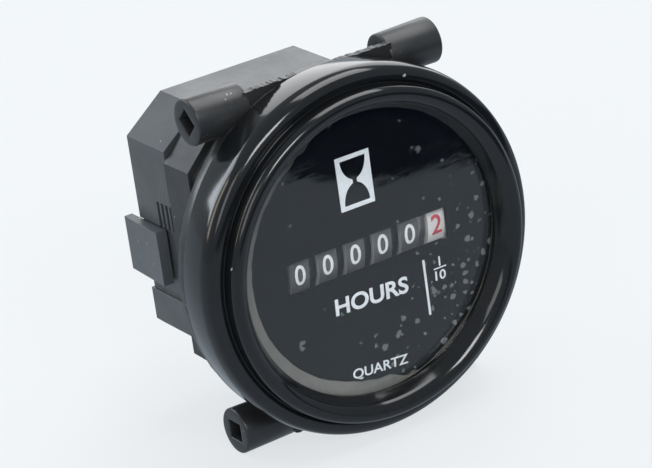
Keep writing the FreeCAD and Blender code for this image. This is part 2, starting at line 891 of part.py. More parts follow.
def counter_frame():
    body = new_body("counter_frame")
    left_in = -size("plate_left")
    left_out = left_in - size("plate_thickness")
    right_in = size("plate_right")
    right_out = right_in + size("plate_thickness")
    short_back = IDLER_BACK + size("plate_margin")
    floor_top = -size("frame_floor")
    overlap = size("frame_overlap")
    floor_bottom = floor_top - size("frame_floor_thickness")
    floor = rectangle(left_in - overlap, right_in + overlap, floor_bottom, floor_top)
    add(body, "X", left_out, left_in, plate_outline(short_back))
    ear_back = FLANGE_BACK + size("ear_thickness")
    floor_front = ear_back + size("screw_head_height") + size("screw_head_clearance")
    add(body, "Y", floor_front, short_back, floor)
    add(body, "X", right_in, right_out, plate_outline(size("plate_back")))
    for x, z in ear_centres():
        half_wide = size("ear_width") / 2 + overlap
        beyond = size("plate_right") - size("plate_left") if x.value > 0 else term(0)
        left, right = x - half_wide, x + half_wide + beyond
        half_tall = size("ear_height") / 2
        ear = rectangle(left, right, z - half_tall, z + half_tall)
        add(body, "Y", FLANGE_BACK, ear_back, ear)
        hole = Circle(x, z, size("screw_radius") + size("running_clearance"))
        cut(body, "Y", FLANGE_BACK, ear_back, hole)
    holes = (
        (WHEEL_AXIS, term(0), size("shaft_radius"), left_out),
        (TRANSFER_BACK, TRANSFER_UP, size("pinion_shaft_radius"), left_out),
        (IDLER_BACK, term(0), size("pinion_shaft_radius"), right_in),
    )
    for back, up, radius, start in holes:
        cut(body, "X", start, right_out, Circle(back, up, radius))
    pivot = size("rotor_shaft_radius") + size("running_clearance")
    cut(body, "X", right_in, right_out, Circle(ROTOR_BACK, ROTOR_UP, pivot))


def shaft_sleeve(label, left, right):
    body = new_body(label)
    bore_radius = size("shaft_radius") + size("running_clearance")
    ring = (Circle(WHEEL_AXIS, 0, size("sleeve_radius")), Circle(WHEEL_AXIS, 0, bore_radius))
    add(body, "X", left, right, *ring)


def counter_shafts():
    left = -size("plate_left") - size("plate_thickness")
    right = size("plate_right") + size("plate_thickness")
    rod("wheel_shaft", size("shaft_radius"), left, right, WHEEL_AXIS, term(0))
    rod("pinion_shaft", size("pinion_shaft_radius"), left, right, TRANSFER_BACK, TRANSFER_UP)
    first_left = size("wheel_first") - size("wheel_band") / 2 - size("zone_width")
    gap = size("sleeve_clearance")
    shaft_sleeve("left_sleeve", -size("plate_left"), first_left - gap)
    shaft_sleeve("right_sleeve", DRIVE_RIGHT + gap, size("plate_right"))


def screws(label, centres, face, shank):
    """Pan head screws in one node, heads at the low-Y or high-Y side that shank names."""
    pieces = []
    for number, (x, z) in enumerate(centres):
        turn = Rotation(Vector(1, 0, 0), -90 if shank > 0 else 90)
        stem = doc.addObject("Part::Cylinder", f"{label}_stem{number}")
        stem.setExpression("Radius", size("screw_radius").text)
        stem.setExpression("Height", (size("screw_grip") + size("ear_thickness")).text)
        head = doc.addObject("Part::Cylinder", f"{label}_head{number}")
        head.setExpression("Radius", size("screw_head_radius").text)
        head.setExpression("Height", size("screw_head_height").text)
        for piece, start in ((stem, face), (head, face - shank * size("screw_head_height"))):
            piece.Placement = Placement(Vector(0, 0, 0), turn)
            for name, value in (("x", x), ("y", start), ("z", z)):
                piece.setExpression(f"Placement.Base.{name}", term(value).text)
        screw = doc.addObject("Part::Fuse", f"{label}_screw{number}")
        screw.Base = head
        screw.Tool = stem
        pieces.append(screw)
    group = doc.addObject("Part::Compound", label)
    group.Label = label
    group.Links = pieces
    PARTS.append(group)


# ---------------------------------------------------------------- step motor


def idler_gear():
    """The gear between the rotor and the tenths wheel."""
    body = new_body("idler_gear")
    low = DRIVE_LEFT
    toothed_disc(body, term(0), DRIVE_RIGHT - low, size("drive_module"), size("pinion_teeth"))
    hub_radius = size("drive_module") * (size("pinion_teeth") / 2 - ROOT_DEPTH)
    hub = Circle(0, 0, hub_radius)
    add(body, "Z", DRIVE_RIGHT - low, STEP_LEFT - low, hub)
    toothed_disc(body, STEP_LEFT - low, STEP_RIGHT - low, size("step_module"), size("step_teeth"))
    bore(body, term(0), STEP_RIGHT - low, size("pinion_shaft_radius"))
    along_x(body, low, IDLER_BACK, 0, IDLER_TURN)


def motor_rotor():
    body = new_body("motor_rotor")
    middle = (STATOR_LEFT + STATOR_RIGHT) / 2
    low = middle - size("magnet_width") / 2 - size("rotor_tail")
    shaft_end = size("plate_right") + size("plate_thickness") - size("rotor_end_clearance")
    shaft = Circle(0, 0, size("rotor_shaft_radius"))
    add(body, "Z", term(0), shaft_end - low, shaft)
    magnet = middle - size("magnet_width") / 2 - low
    add(body, "Z", magnet, magnet + size("magnet_width"), Circle(0, 0, size("magnet_radius")))
    toothed_disc(body, STEP_LEFT - low, STEP_RIGHT - low, size("step_module"), size("pinion_teeth"))
    turn = ROTOR_TURN + 180.0 + 180.0 / SIZES["pinion_teeth"]
    along_x(body, low, ROTOR_BACK, ROTOR_UP, turn)


def stator_places():
    """Front, rear, bottom, shoulder and top of the stator's outline, in Y and Z."""
    reach = size("magnet_radius") + size("air_gap")
    front = ROTOR_BACK - reach - size("stator_front_wall")
    rear = ROTOR_BACK + reach + size("stator_rear_wall")
    bottom = ROTOR_UP - reach - size("stator_bottom_wall")
    shoulder = ROTOR_UP + reach + size("stator_top_wall")
    return front, rear, bottom, shoulder, size("stator_top")


def motor_stator():
    body = new_body("motor_stator")
    front, rear, bottom, shoulder, top = stator_places()
    outline = [
        (front, bottom),
        (rear, bottom),
        (rear, shoulder),
        (front + size("core_width"), shoulder),
        (front + size("core_width"), top),
        (front, top),
    ]
    hole = Circle(ROTOR_BACK, ROTOR_UP, size("magnet_radius") + size("air_gap"))
    add(body, "X", STATOR_LEFT, STATOR_RIGHT, outline, hole)


def core_rear():
    rear = stator_places()[1]
    return rear - size("core_width"), rear


def coil_core():
    body = new_body("coil_core")
    front, rear, bottom, shoulder, top = stator_places()
    inner, outer = core_rear()
    bar_bottom = top - size("core_bar")
    outline = [
        (inner, shoulder),
        (outer, shoulder),
        (outer, top),
        (front + size("core_width"), top),
        (front + size("core_width"), bar_bottom),
        (inner, bar_bottom),
    ]
    add(body, "X", STATOR_LEFT, STATOR_RIGHT, outline)


def around_core(growth):
    """A rectangle round the coil core in plan, grown by that much on every side."""
    inner, outer = core_rear()
    return rectangle(
        STATOR_LEFT - growth, STATOR_RIGHT + growth, inner - growth, outer + growth
    )


def coil_bobbin():
    body = new_body("coil_bobbin")
    low = stator_places()[3]
    high = low + size("coil_height")
    flange = size("bobbin_flange")
    wide = size("bobbin_wall") + size("winding_depth")
    add(body, "Z", low, high, around_core(size("bobbin_wall")))
    add(body, "Z", low, low + flange, around_core(wide))
    add(body, "Z", high - flange, high, around_core(wide))
    cut(body, "Z", low, high, around_core(term(0)))


def coil_winding():
    body = new_body("coil_winding")
    low = stator_places()[3] + size("bobbin_flange")
    high = stator_places()[3] + size("coil_height") - size("bobbin_flange")
    depth = size("winding_depth") - size("winding_inset")
    outer = around_core(size("bobbin_wall") + depth)
    add(body, "Z", low, high, outer, around_core(size("bobbin_wall")))


def motor_supports():
    """The idler's arbor, the stator's two spacers and the rotor's inner bearing bridge."""
    idler_end = size("plate_right") + size("plate_thickness")
    idler_start = DRIVE_LEFT - size("arbor_overhang")
    rod("idler_arbor", size("pinion_shaft_radius"), idler_start, idler_end, IDLER_BACK, term(0))
    front, rear, bottom, shoulder, top = stator_places()
    spacers = {
        "upper": (front + size("core_width") / 2, size("plate_height") - size("upper_spacer_drop")),
        "lower": (
            size("plate_back") - size("lower_spacer_inset"), bottom + size("lower_spacer_inset")
        ),
    }
    for name, place in spacers.items():
        span = (STATOR_RIGHT, size("plate_right"))
        rod(f"{name}_spacer", size("spacer_radius"), *span, *place)
    rotor_bridge()


def rotor_bridge():
    """The thin bridge that holds the inner end of the rotor's shaft."""
    body = new_body("rotor_bridge")
    reach = size("magnet_radius") + size("air_gap")
    half_long = reach + size("bridge_margin")
    low, high = ROTOR_UP - size("bridge_half_width"), ROTOR_UP + size("bridge_half_width")
    right = STATOR_LEFT - size("bridge_gap")
    left = right - size("bridge_thickness")
    add(body, "X", left, right, rectangle(ROTOR_BACK - half_long, ROTOR_BACK + half_long, low, high))
    leg_half = size("bridge_leg_half")
    for sign in (-1, 1):
        foot = ROTOR_BACK + sign * (reach + size("bridge_leg_place"))
        leg = rectangle(foot - leg_half, foot + leg_half, low, high)
        add(body, "X", right, STATOR_LEFT, leg)
    pivot = size("rotor_shaft_radius") + size("running_clearance")
    cut(body, "X", left, right, Circle(ROTOR_BACK, ROTOR_UP, pivot))


# ---------------------------------------------------------------- electronics


def post_centres():
    inset = size("post_radius") + size("post_margin")
    left = inset - size("board_left")
    right = size("board_right") - inset
    bottom = inset - size("board_bottom")
    top = size("board_top") - inset
    return [(left, bottom), (right, bottom), (left, top), (right, top)]


def blade_outline(x, growth):
    half_thick = size("terminal_thickness") / 2 + growth
    half_wide = size("terminal_width") / 2 + growth
    return rectangle(x - half_thick, x + half_thick, -half_wide, half_wide)


def circuit_board():
    body = new_body("circuit_board")
    outline = rectangle(
        -size("board_left"), size("board_right"), -size("board_bottom"), size("board_top")
    )
    add(body, "Y", BOARD_FRONT, size("board_back"), outline)
    for x, z in post_centres():
        hole = Circle(x, z, size("screw_radius") + size("running_clearance"))
        cut(body, "Y", BOARD_FRONT, size("board_back"), hole)


def board_parts():
    """The quartz crystal can, timer chip, capacitor and dropping resistor on the board."""
    crystal_back = BOARD_FRONT - size("crystal_radius")
    crystal_left = size("crystal_right") - size("crystal_length")
    crystal_span = (crystal_left, size("crystal_right"))
    rod("quartz_crystal", size("crystal_radius"), *crystal_span, crystal_back, size("crystal_up"))
    chip = new_body("timer_chip")
    left, bottom = size("chip_left"), size("chip_bottom")
    outline = rectangle(left, left + size("chip_length"), bottom, bottom + size("chip_width"))
    add(chip, "Y", BOARD_FRONT - size("chip_height"), BOARD_FRONT, outline)
    capacitor = new_body("capacitor")
    can = Circle(size("capacitor_across"), size("capacitor_up"), size("capacitor_radius"))
    add(capacitor, "Y", BOARD_FRONT - size("capacitor_length"), BOARD_FRONT, can)
    resistor_back = BOARD_FRONT - size("resistor_radius")
    resistor_right = size("resistor_left") + size("resistor_length")
    resistor_span = (size("resistor_left"), resistor_right)
    rod("resistor", size("resistor_radius"), *resistor_span, resistor_back, size("resistor_up"))


def terminal(label, x):
    """A flat spade blade that leaves the board and stands out behind the cover."""
    body = new_body(label)
    tip = COVER_BACK + size("terminal_reach")
    add(body, "Y", size("board_back"), tip, blade_outline(x, term(0)))
    half = size("terminal_thickness") / 2
    hole = Circle(tip - size("terminal_reach") / 2, 0, size("terminal_hole_radius"))
    cut(body, "X", x - half, x + half, hole)


# ---------------------------------------------------------------- assembly


def build():
    bezel()
    lens()
    lens_gasket()
    dial_plate()
    front_case()
    rear_cover()
    mounting_ring()
    for name, side in (("left", -1), ("right", 1)):
        side_latch(f"side_latch_{name}", side)
        latch_pin(f"latch_pin_{name}", side)
    names = ("ten_thousands", "thousands", "hundreds", "tens", "units")
    for index, name in enumerate(names):
        digit_wheel(f"{name}_wheel", index)
        transfer_pinion(f"{name}_pinion", index)
    tenths_wheel()
    counter_frame()
    counter_shafts()
    ear_face = FLANGE_BACK + size("ear_thickness")
    screws("frame_screws", ear_centres(), ear_face, -1)
    idler_gear()
    motor_rotor()
    motor_stator()
    coil_core()
    coil_bobbin()
    coil_winding()
    motor_supports()
    circuit_board()
    board_parts()
    screws("board_screws", post_centres(), BOARD_FRONT, 1)
    terminal("left_terminal", -size("terminal_spread"))
    terminal("right_terminal", size("terminal_spread"))


def check_document():
    """Stops on any failed feature, empty shape or cut that removed nothing."""
    for item in doc.Objects:
        if {"Invalid", "Error"} & set(item.State):
            raise RuntimeError(f"{item.Name} failed: {item.State}")
        if item.TypeId == "PartDesign::Pocket":
            before = item.BaseFeature.Shape.Volume
            if before - item.Shape.Volume < 1e-4:
                raise RuntimeError(f"{item.Name} removed nothing")
    for part in PARTS:
        if part.Shape.isNull() or not part.Shape.isValid():
            raise RuntimeError(f"{part.Label} has no valid shape")


def write_parts():
    os.makedirs("parts", exist_ok=True)
    for part in PARTS:
        part.Shape.exportStep(f"parts/{part.Label}.step")
        print(f"{part.Label}: {len(part.Shape.Solids)} solid, {part.Shape.Volume:.1f} mm3")


build()
doc.recompute()
check_document()
write_parts()
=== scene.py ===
"""Looks of a round panel hour meter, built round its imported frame.

Sizes in the classes are millimetres in the frame's own axes: +X to the reader's right, +Z up,
and the dial faces -Y. A mesh is scaled to metres when it is finished. Distances measured
forward from the panel seat are negative Y.
"""

import logging
import math
from dataclasses import dataclass, field
from enum import Enum
from typing import Any, Callable

import bmesh
import bpy
from mathutils import Matrix, Vector, noise


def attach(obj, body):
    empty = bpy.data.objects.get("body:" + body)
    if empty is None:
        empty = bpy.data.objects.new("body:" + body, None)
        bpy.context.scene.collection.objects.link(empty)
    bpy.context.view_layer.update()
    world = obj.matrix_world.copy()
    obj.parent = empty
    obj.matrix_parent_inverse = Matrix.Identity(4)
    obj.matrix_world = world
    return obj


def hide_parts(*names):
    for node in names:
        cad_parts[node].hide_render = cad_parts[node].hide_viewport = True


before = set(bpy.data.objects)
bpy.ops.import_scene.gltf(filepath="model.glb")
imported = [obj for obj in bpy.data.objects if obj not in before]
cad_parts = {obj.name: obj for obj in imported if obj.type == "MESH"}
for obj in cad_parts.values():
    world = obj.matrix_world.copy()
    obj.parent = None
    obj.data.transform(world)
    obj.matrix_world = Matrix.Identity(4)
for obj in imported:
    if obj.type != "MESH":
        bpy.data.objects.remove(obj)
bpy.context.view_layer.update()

MM = 0.001
FULL_TURN = 2 * math.pi
# How near points are made one, and how near a cut keeps to a point, in millimetres.
MERGE = 1e-4
CUT = 1e-5
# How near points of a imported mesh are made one, in metres.
WELD = 1e-6
# An edge that turns more than this, in degrees, is a corner.
CORNER_ANGLE = 28.0
# Half the side of a unit square.
HALF = 0.5
FIGURES = 10
log = logging.getLogger("hour_meter")

Colour = tuple[float, float, float]


# ------------------------------------------------------------------ shader graphs


class Graph:
    """Adds nodes to one shader tree and joins their sockets."""

    def __init__(self, tree: bpy.types.NodeTree) -> None:
        """Keeps the tree that nodes are added to."""
        self.tree = tree

    def add(self, kind: str, inputs: dict | None = None, **settings: Any) -> bpy.types.Node:
        """Adds a node, sets it up and feeds its inputs.

        Args:
            kind: the node's type, without its ShaderNode prefix.
            inputs: a socket or a plain value for each input's name or number.
            settings: the node's own settings.

        Returns:
            The new node.
        """
        node = self.tree.nodes.new("ShaderNode" + kind)
        for name, value in settings.items():
            setattr(node, name, value)
        self.feed(node, inputs or {})
        return node

    def feed(self, node: bpy.types.Node, inputs: dict) -> None:
        """Joins a socket, or sets a plain value, at each input's name or number.

        Args:
            node: the node to feed.
            inputs: a socket or a plain value for each input's name or number.
        """
        for name, value in inputs.items():
            if isinstance(value, bpy.types.NodeSocket):
                self.tree.links.new(value, node.inputs[name])
            else:
                node.inputs[name].default_value = value

    def math(self, operation: str, *values: Any, clamp: bool = False) -> bpy.types.NodeSocket:
        """Gives the result of one arithmetic step on sockets or numbers."""
        node = self.add("Math", dict(enumerate(values)), operation=operation, use_clamp=clamp)
        return node.outputs[0]

    def noise(self, place: Any, scale: Any, detail: float = 3.0) -> bpy.types.NodeSocket:
        """Gives fractal noise from 0 to 1 at a place."""
        node = self.add("TexNoise", {"Vector": place, "Scale": scale, "Detail": detail})
        return node.outputs["Fac"]

    def span(self, value: Any, low: Any, high: Any, start: Any = 0.0, end: Any = 1.0) -> Any:
        """Carries a value smoothly from the stretch low..high to start..end."""
        inputs = {"Value": value, "From Min": low, "From Max": high, "To Min": start, "To Max": end}
        return self.add("MapRange", inputs, interpolation_type="SMOOTHSTEP").outputs["Result"]

    def blend(self, share: Any, first: Any, second: Any) -> bpy.types.NodeSocket:
        """Mixes two colours by a share from 0 to 1."""
        inputs = {0: share, 6: paint(first), 7: paint(second)}
        return self.add("Mix", inputs, data_type="RGBA").outputs[2]

    def group(self, tree: bpy.types.NodeTree, **inputs: Any) -> bpy.types.Node:
        """Places a shared effect with this material's own values.

        Args:
            tree: the effect's node group.
            inputs: a socket or a plain value for each named input.

        Returns:
            The placed group.
        """
        node = self.add("Group", node_tree=tree)
        self.feed(node, inputs)
        return node


def paint(colour: Any) -> Any:
    """A plain colour with its alpha; a socket stays as it is."""
    return (*colour, 1.0) if isinstance(colour, tuple) and len(colour) == 3 else colour


def grey(value: float, warmth: float = 0.0) -> Colour:
    """A linear grey, a little warmer or cooler than neutral."""
    return (value * (1 + warmth), value, value * (1 - warmth))


def new_material(name: str) -> tuple[bpy.types.Material, Graph, bpy.types.Node, Any]:
    """Starts a material.

    Args:
        name: the material's name.

    Returns:
        The material, its graph, its Principled shader and the piece's own coordinates.
    """
    material = bpy.data.materials.new(name)
    material.use_nodes = True
    graph = Graph(material.node_tree)
    place = graph.add("TexCoord").outputs["Object"]
    return material, graph, material.node_tree.nodes["Principled BSDF"], place


class Effects:
    """The surface effects that several finishes share, each built once."""

    BROAD_SCALE = 0.13
    PATCH_SPAN = (0.34, 0.66)
    EDGE_GAIN = 6.0
    BREAK_SCALE = 900.0
    BREAK_SPAN = (0.42, 0.62)
    WARP_SCALE = 2.2
    WARP_REACH = 0.55
    SPECK_CORE = 0.75
    FINE_SCALE = 9.0
    FINE_SHARE = 0.3
    SMUDGE_SPAN = (0.35, 0.65)

    _built: dict[str, bpy.types.NodeTree] = {}

    @classmethod
    def _tree(cls, name: str, inputs: dict[str, Any], outputs: list[str], fill: Callable) -> Any:
        """Builds a node group the first time it is asked for.

        Args:
            name: the group's name.
            inputs: a default for each named input; None makes it a vector.
            outputs: names of the outputs; one named Normal is a vector.
            fill: adds the nodes, given the graph and the input node, and returns the outputs.

        Returns:
            The group's node tree.
        """
        if name in cls._built:
            return cls._built[name]
        tree = bpy.data.node_groups.new(name, "ShaderNodeTree")
        for label, default in inputs.items():
            kind = "NodeSocketVector" if default is None else "NodeSocketFloat"
            socket = tree.interface.new_socket(name=label, in_out="INPUT", socket_type=kind)
            if default is not None:
                socket.default_value = default
        for label in outputs:
            kind = "NodeSocketVector" if label == "Normal" else "NodeSocketFloat"
            tree.interface.new_socket(name=label, in_out="OUTPUT", socket_type=kind)
        graph = Graph(tree)
        entry = tree.nodes.new("NodeGroupInput")
        leave = tree.nodes.new("NodeGroupOutput")
        for label, socket in zip(outputs, fill(graph, entry.outputs)):
            tree.links.new(socket, leave.inputs[label])
        cls._built[name] = tree
        return tree

    @classmethod
    def grain(cls) -> bpy.types.NodeTree:
        """Fine moulded or cast grain, with broad patches of tone.

        Returns:
            The group's node tree, with the outputs Height and Tone.
        """

        def fill(graph: Graph, entry: Any) -> list:
            """Joins fine grain to broad grain and spreads the tone.

            Args:
                graph: the group's graph.
                entry: the group's inputs.

            Returns:
                The height and the tone.
            """
            fine = graph.noise(entry["Place"], entry["Scale"], 4.0)
            wide = graph.math("MULTIPLY", entry["Scale"], cls.BROAD_SCALE)
            broad = graph.noise(entry["Place"], wide, 3.0)
            height = graph.math("MULTIPLY_ADD", broad, 0.5, fine)
            tone = graph.span(graph.noise(entry["Place"], entry["Patch"], 5.0), *cls.PATCH_SPAN)
            return [height, tone]

        return cls._tree(
            "moulded_grain",
            {"Place": None, "Scale": 4000.0, "Patch": 120.0},
            ["Height", "Tone"],
            fill,
        )

    @classmethod
    def wear(cls) -> bpy.types.NodeTree:
        """Worn corners: a broken mask along edges, and a normal that rounds them.

        Returns:
            The group's node tree, with the outputs Mask and Normal.
        """

        def fill(graph: Graph, entry: Any) -> list:
            """Finds the edges by how far the rounded normal turns.

            Args:
                graph: the group's graph.
                entry: the group's inputs.

            Returns:
                The mask and the rounded normal.
            """
            rounded = graph.add("Bevel", {"Radius": entry["Reach"]}, samples=6)
            plain = graph.add("NewGeometry")
            turn = graph.add(
                "VectorMath",
                {0: rounded.outputs[0], 1: plain.outputs["Normal"]},
                operation="DOT_PRODUCT",
            )
            edge = graph.math("SUBTRACT", 1.0, turn.outputs["Value"])
            breaks = graph.noise(entry["Place"], cls.BREAK_SCALE, 5.0)
            mask = graph.math("MULTIPLY", edge, cls.EDGE_GAIN, clamp=True)
            mask = graph.math("MULTIPLY", mask, graph.span(breaks, *cls.BREAK_SPAN))
            mask = graph.math("MULTIPLY", mask, entry["Amount"], clamp=True)
            return [mask, rounded.outputs[0]]

        return cls._tree(
            "worn_edges",
            {"Place": None, "Reach": 0.0002, "Amount": 0.5},
            ["Mask", "Normal"],
            fill,
        )

    @classmethod
    def specks(cls) -> bpy.types.NodeTree:
        """Scattered specks of dust or residue with uneven outlines.

        Returns:
            The group's node tree, with the output Mask.
        """

        def fill(graph: Graph, entry: Any) -> list:
            """Cuts warped cells down to specks and keeps some of them.

            Args:
                graph: the group's graph.
                entry: the group's inputs.

            Returns:
                The mask.
            """
            bends = graph.math("MULTIPLY", entry["Scale"], cls.WARP_SCALE)
            warp = graph.add("TexNoise", {"Vector": entry["Place"], "Scale": bends})
            reach = graph.math("DIVIDE", cls.WARP_REACH, entry["Scale"])
            shift = graph.add(
                "VectorMath", {0: warp.outputs["Color"], "Scale": reach}, operation="SCALE"
            )
            place = graph.add(
                "VectorMath", {0: entry["Place"], 1: shift.outputs[0]}, operation="ADD"
            )
            cells = graph.add("TexVoronoi", {"Vector": place.outputs[0], "Scale": entry["Scale"]})
            parts = graph.add("SeparateColor", {0: cells.outputs["Color"]})
            rim = graph.math("MULTIPLY", parts.outputs[0], entry["Size"])
            core = graph.math("MULTIPLY", rim, cls.SPECK_CORE)
            inside = graph.span(cells.outputs["Distance"], core, rim, 1.0, 0.0)
            chosen = graph.math("LESS_THAN", parts.outputs[1], entry["Share"])
            return [graph.math("MULTIPLY", inside, chosen)]

        return cls._tree(
            "scattered_specks",
            {"Place": None, "Scale": 800.0, "Size": 0.3, "Share": 0.1},
            ["Mask"],
            fill,
        )

    @classmethod
    def smudges(cls) -> bpy.types.NodeTree:
        """Handling marks: roughness that drifts between two values.

        Returns:
            The group's node tree, with the output Roughness.
        """

        def fill(graph: Graph, entry: Any) -> list:
            """Mixes soft and fine noise between the two roughnesses.

            Args:
                graph: the group's graph.
                entry: the group's inputs.

            Returns:
                The roughness.
            """
            soft = graph.noise(entry["Place"], entry["Scale"], 4.0)
            close = graph.math("MULTIPLY", entry["Scale"], cls.FINE_SCALE)
            fine = graph.noise(entry["Place"], close, 3.0)
            rest = graph.math("MULTIPLY", soft, 1 - cls.FINE_SHARE)
            mixed = graph.math("MULTIPLY_ADD", fine, cls.FINE_SHARE, rest)
            return [graph.span(mixed, *cls.SMUDGE_SPAN, entry["Low"], entry["High"])]

        return cls._tree(
            "handling_smudges",
            {"Place": None, "Scale": 90.0, "Low": 0.3, "High": 0.5},
            ["Roughness"],
            fill,
        )


# ------------------------------------------------------------------ finishes


@dataclass(frozen=True)
class Finish:
    """A solid finish: two tones, grain, handling marks, dust and worn edges."""

    name: str
    colour: Colour
    second: Colour
    roughness: tuple[float, float] = (0.4, 0.55)
    grain_scale: float = 4000.0
    grain_depth: float = 0.00002
    patch_scale: float = 120.0
    worn: Colour = (0.3, 0.3, 0.3)
    wear: float = 0.3
    edge_reach: float = 0.00015
    dust: float = 0.04
    dust_colour: Colour = (0.35, 0.36, 0.36)
    dust_scale: float = 1500.0
    dust_size: float = 0.26
    metallic: float = 0.0
    specular: float = 0.5

    def base(self, graph: Graph, place: Any, tone: Any) -> Any:
        """The colour before dust and wear."""
        return graph.blend(tone, self.colour, self.second)

    def make(self) -> bpy.types.Material:
        """Builds the material.

        Returns:
            The finished material, with the finish's name.
        """
        material, graph, shader, place = new_material(self.name)
        grain = graph.group(
            Effects.grain(), Place=place, Scale=self.grain_scale, Patch=self.patch_scale
        )
        wear = graph.group(Effects.wear(), Place=place, Reach=self.edge_reach, Amount=self.wear)
        dust = graph.group(
            Effects.specks(), Place=place, Scale=self.dust_scale, Size=self.dust_size,
            Share=self.dust,
        )
        marks = graph.group(
            Effects.smudges(), Place=place, Low=self.roughness[0], High=self.roughness[1]
        )
        colour = self.base(graph, place, grain.outputs["Tone"])
        colour = graph.blend(wear.outputs["Mask"], colour, self.worn)
        colour = graph.blend(dust.outputs["Mask"], colour, self.dust_colour)
        rough = graph.math("MAXIMUM", marks.outputs[0], dust.outputs["Mask"])
        bump = graph.add(
            "Bump",
            {
                "Height": grain.outputs["Height"],
                "Distance": self.grain_depth,
                "Normal": wear.outputs["Normal"],
            },
        )
        graph.feed(
            shader,
            {
                "Base Color": colour,
                "Roughness": rough,
                "Normal": bump.outputs[0],
                "Metallic": self.metallic,
                "Specular IOR Level": self.specular,
            },
        )
        material.diffuse_color = (*self.colour, 1.0)
        return material


@dataclass(frozen=True)
class DrumFinish(Finish):
    """A counting drum: an inked band between bare stretches of its plastic."""

    bare: Colour = (0.3, 0.31, 0.32)
    first: float = -11.35
    pitch: float = 5.0
    band: float = 3.3
    trim: float = 0.004

    def base(self, graph: Graph, place: Any, tone: Any) -> Any:
        """Ink on the printed band, bare plastic on the teeth and the carry cam.

        Args:
            graph: the material's graph.
            place: the piece's own coordinates.
            tone: the broad patches of the grain.

        Returns:
            The colour.
        """
        across = graph.add("SeparateXYZ", {0: place}).outputs["X"]
        turns = graph.math("SUBTRACT", across, (self.first - self.pitch / 2) * MM)
        turns = graph.math("FRACT", graph.math("DIVIDE", turns, self.pitch * MM))
        off = graph.math("ABSOLUTE", graph.math("SUBTRACT", turns, 0.5))
        beyond = graph.math("GREATER_THAN", off, self.band / self.pitch / 2 - self.trim)
        return graph.blend(beyond, graph.blend(tone, self.colour, self.second), self.bare)


@dataclass(frozen=True)
class DialFinish(Finish):
    """Screen-printed black with flecks of stray residue, thickest low on the right."""

    fleck: Colour = (0.13, 0.14, 0.145)
    fleck_size: float = 0.5
    small_scale: float = 750.0
    large_scale: float = 330.0
    large_share: float = 0.75
    drift: tuple[float, float] = (26.0, -22.0)
    drift_end: float = 0.85
    shares: tuple[float, float] = (0.09, 0.8)

    def base(self, graph: Graph, place: Any, tone: Any) -> Any:
        """Black ink under two sizes of fleck.

        Args:
            graph: the material's graph.
            place: the piece's own coordinates.
            tone: the broad patches of the grain.

        Returns:
            The colour.
        """
        parts = graph.add("SeparateXYZ", {0: place})
        aside = graph.math("MULTIPLY", parts.outputs["X"], self.drift[0])
        lean = graph.math("MULTIPLY_ADD", parts.outputs["Z"], self.drift[1], aside)
        share = graph.span(lean, 0.0, self.drift_end, *self.shares)
        fewer = graph.math("MULTIPLY", share, self.large_share)
        small, large = (
            graph.group(
                Effects.specks(), Place=place, Scale=scale, Size=self.fleck_size, Share=chosen
            )
            for scale, chosen in ((self.small_scale, share), (self.large_scale, fewer))
        )
        both = graph.math("MAXIMUM", small.outputs[0], large.outputs[0])
        return graph.blend(both, graph.blend(tone, self.colour, self.second), self.fleck)


@dataclass(frozen=True)
class WoundFinish(Finish):
    """Fine enamelled wire, wound in close turns, with painted highlight and shade along each turn.
    """

    turns_per_metre: float = 9000.0
    contrast: float = 0.35

    def base(self, graph: Graph, place: Any, tone: Any) -> Any:
        """Painted highlight and shade: a bright line along each turn of wire and a dark line
        between turns.

        Args:
            graph: the material's graph.
            place: the piece's own coordinates.
            tone: the broad patches of the grain; not used.

        Returns:
            The colour.
        """
        height = graph.add("SeparateXYZ", {0: place}).outputs["Z"]
        wave = graph.math("SINE", graph.math("MULTIPLY", height, self.turns_per_metre * FULL_TURN))
        line = graph.math("MULTIPLY_ADD", wave, self.contrast, 0.5)
        # The first colour is the painted highlight on each turn, and the second is the painted
        # shade between turns.
        return graph.blend(line, self.second, self.colour)


@dataclass(frozen=True)
class BoardFinish(Finish):
    """Solder mask over copper tracks."""

    track: Colour = (0.02, 0.14, 0.06)
    track_scale: float = 260.0
    track_rings: float = 3.0
    track_gap: float = 0.62

    def base(self, graph: Graph, place: Any, tone: Any) -> Any:
        """Stepped track outlines under the mask.

        Args:
            graph: the material's graph.
            place: the piece's own coordinates.
            tone: the broad patches of the grain.

        Returns:
            The colour.
        """
        flat = graph.add("Mapping", {"Vector": place, "Rotation": (math.pi / 2, 0.0, 0.0)})
        cells = graph.add(
            "TexVoronoi",
            {"Vector": flat.outputs[0], "Scale": self.track_scale},
            distance="CHEBYCHEV",
            feature="F1",
        )
        rings = graph.math("MULTIPLY", cells.outputs["Distance"], self.track_rings)
        tracks = graph.math("GREATER_THAN", graph.math("FRACT", rings), self.track_gap)
        return graph.blend(tracks, graph.blend(tone, self.colour, self.second), self.track)


@dataclass(frozen=True)
class GlueFinish(Finish):
    """Black gasket whose left and lower arc is smeared with pale dried glue."""

    glue: Colour = (0.17, 0.165, 0.15)
    lower_share: float = 0.9
    arc_end: float = 0.034
    arc_tones: tuple[float, float] = (0.42, 1.0)
    streak_scale: float = 500.0
    streak_span: tuple[float, float] = (0.3, 0.7)
    streak_tones: tuple[float, float] = (0.8, 1.0)

    def base(self, graph: Graph, place: Any, tone: Any) -> Any:
        """Glue where the arc is bare to view, streaked outwards.

        Args:
            graph: the material's graph.
            place: the piece's own coordinates.
            tone: the broad patches of the grain; not used.

        Returns:
            The colour.
        """
        parts = graph.add("SeparateXYZ", {0: place})
        left = graph.math("MULTIPLY", parts.outputs["X"], -1.0)
        low = graph.math("MULTIPLY", parts.outputs["Z"], -1.0)
        lean = graph.math("MULTIPLY_ADD", low, self.lower_share, left)
        arc = graph.span(lean, 0.0, self.arc_end, *self.arc_tones)
        ripple = graph.noise(place, self.streak_scale, 3.0)
        streak = graph.span(ripple, *self.streak_span, *self.streak_tones)
        return graph.blend(graph.math("MULTIPLY", arc, streak), self.colour, self.glue)


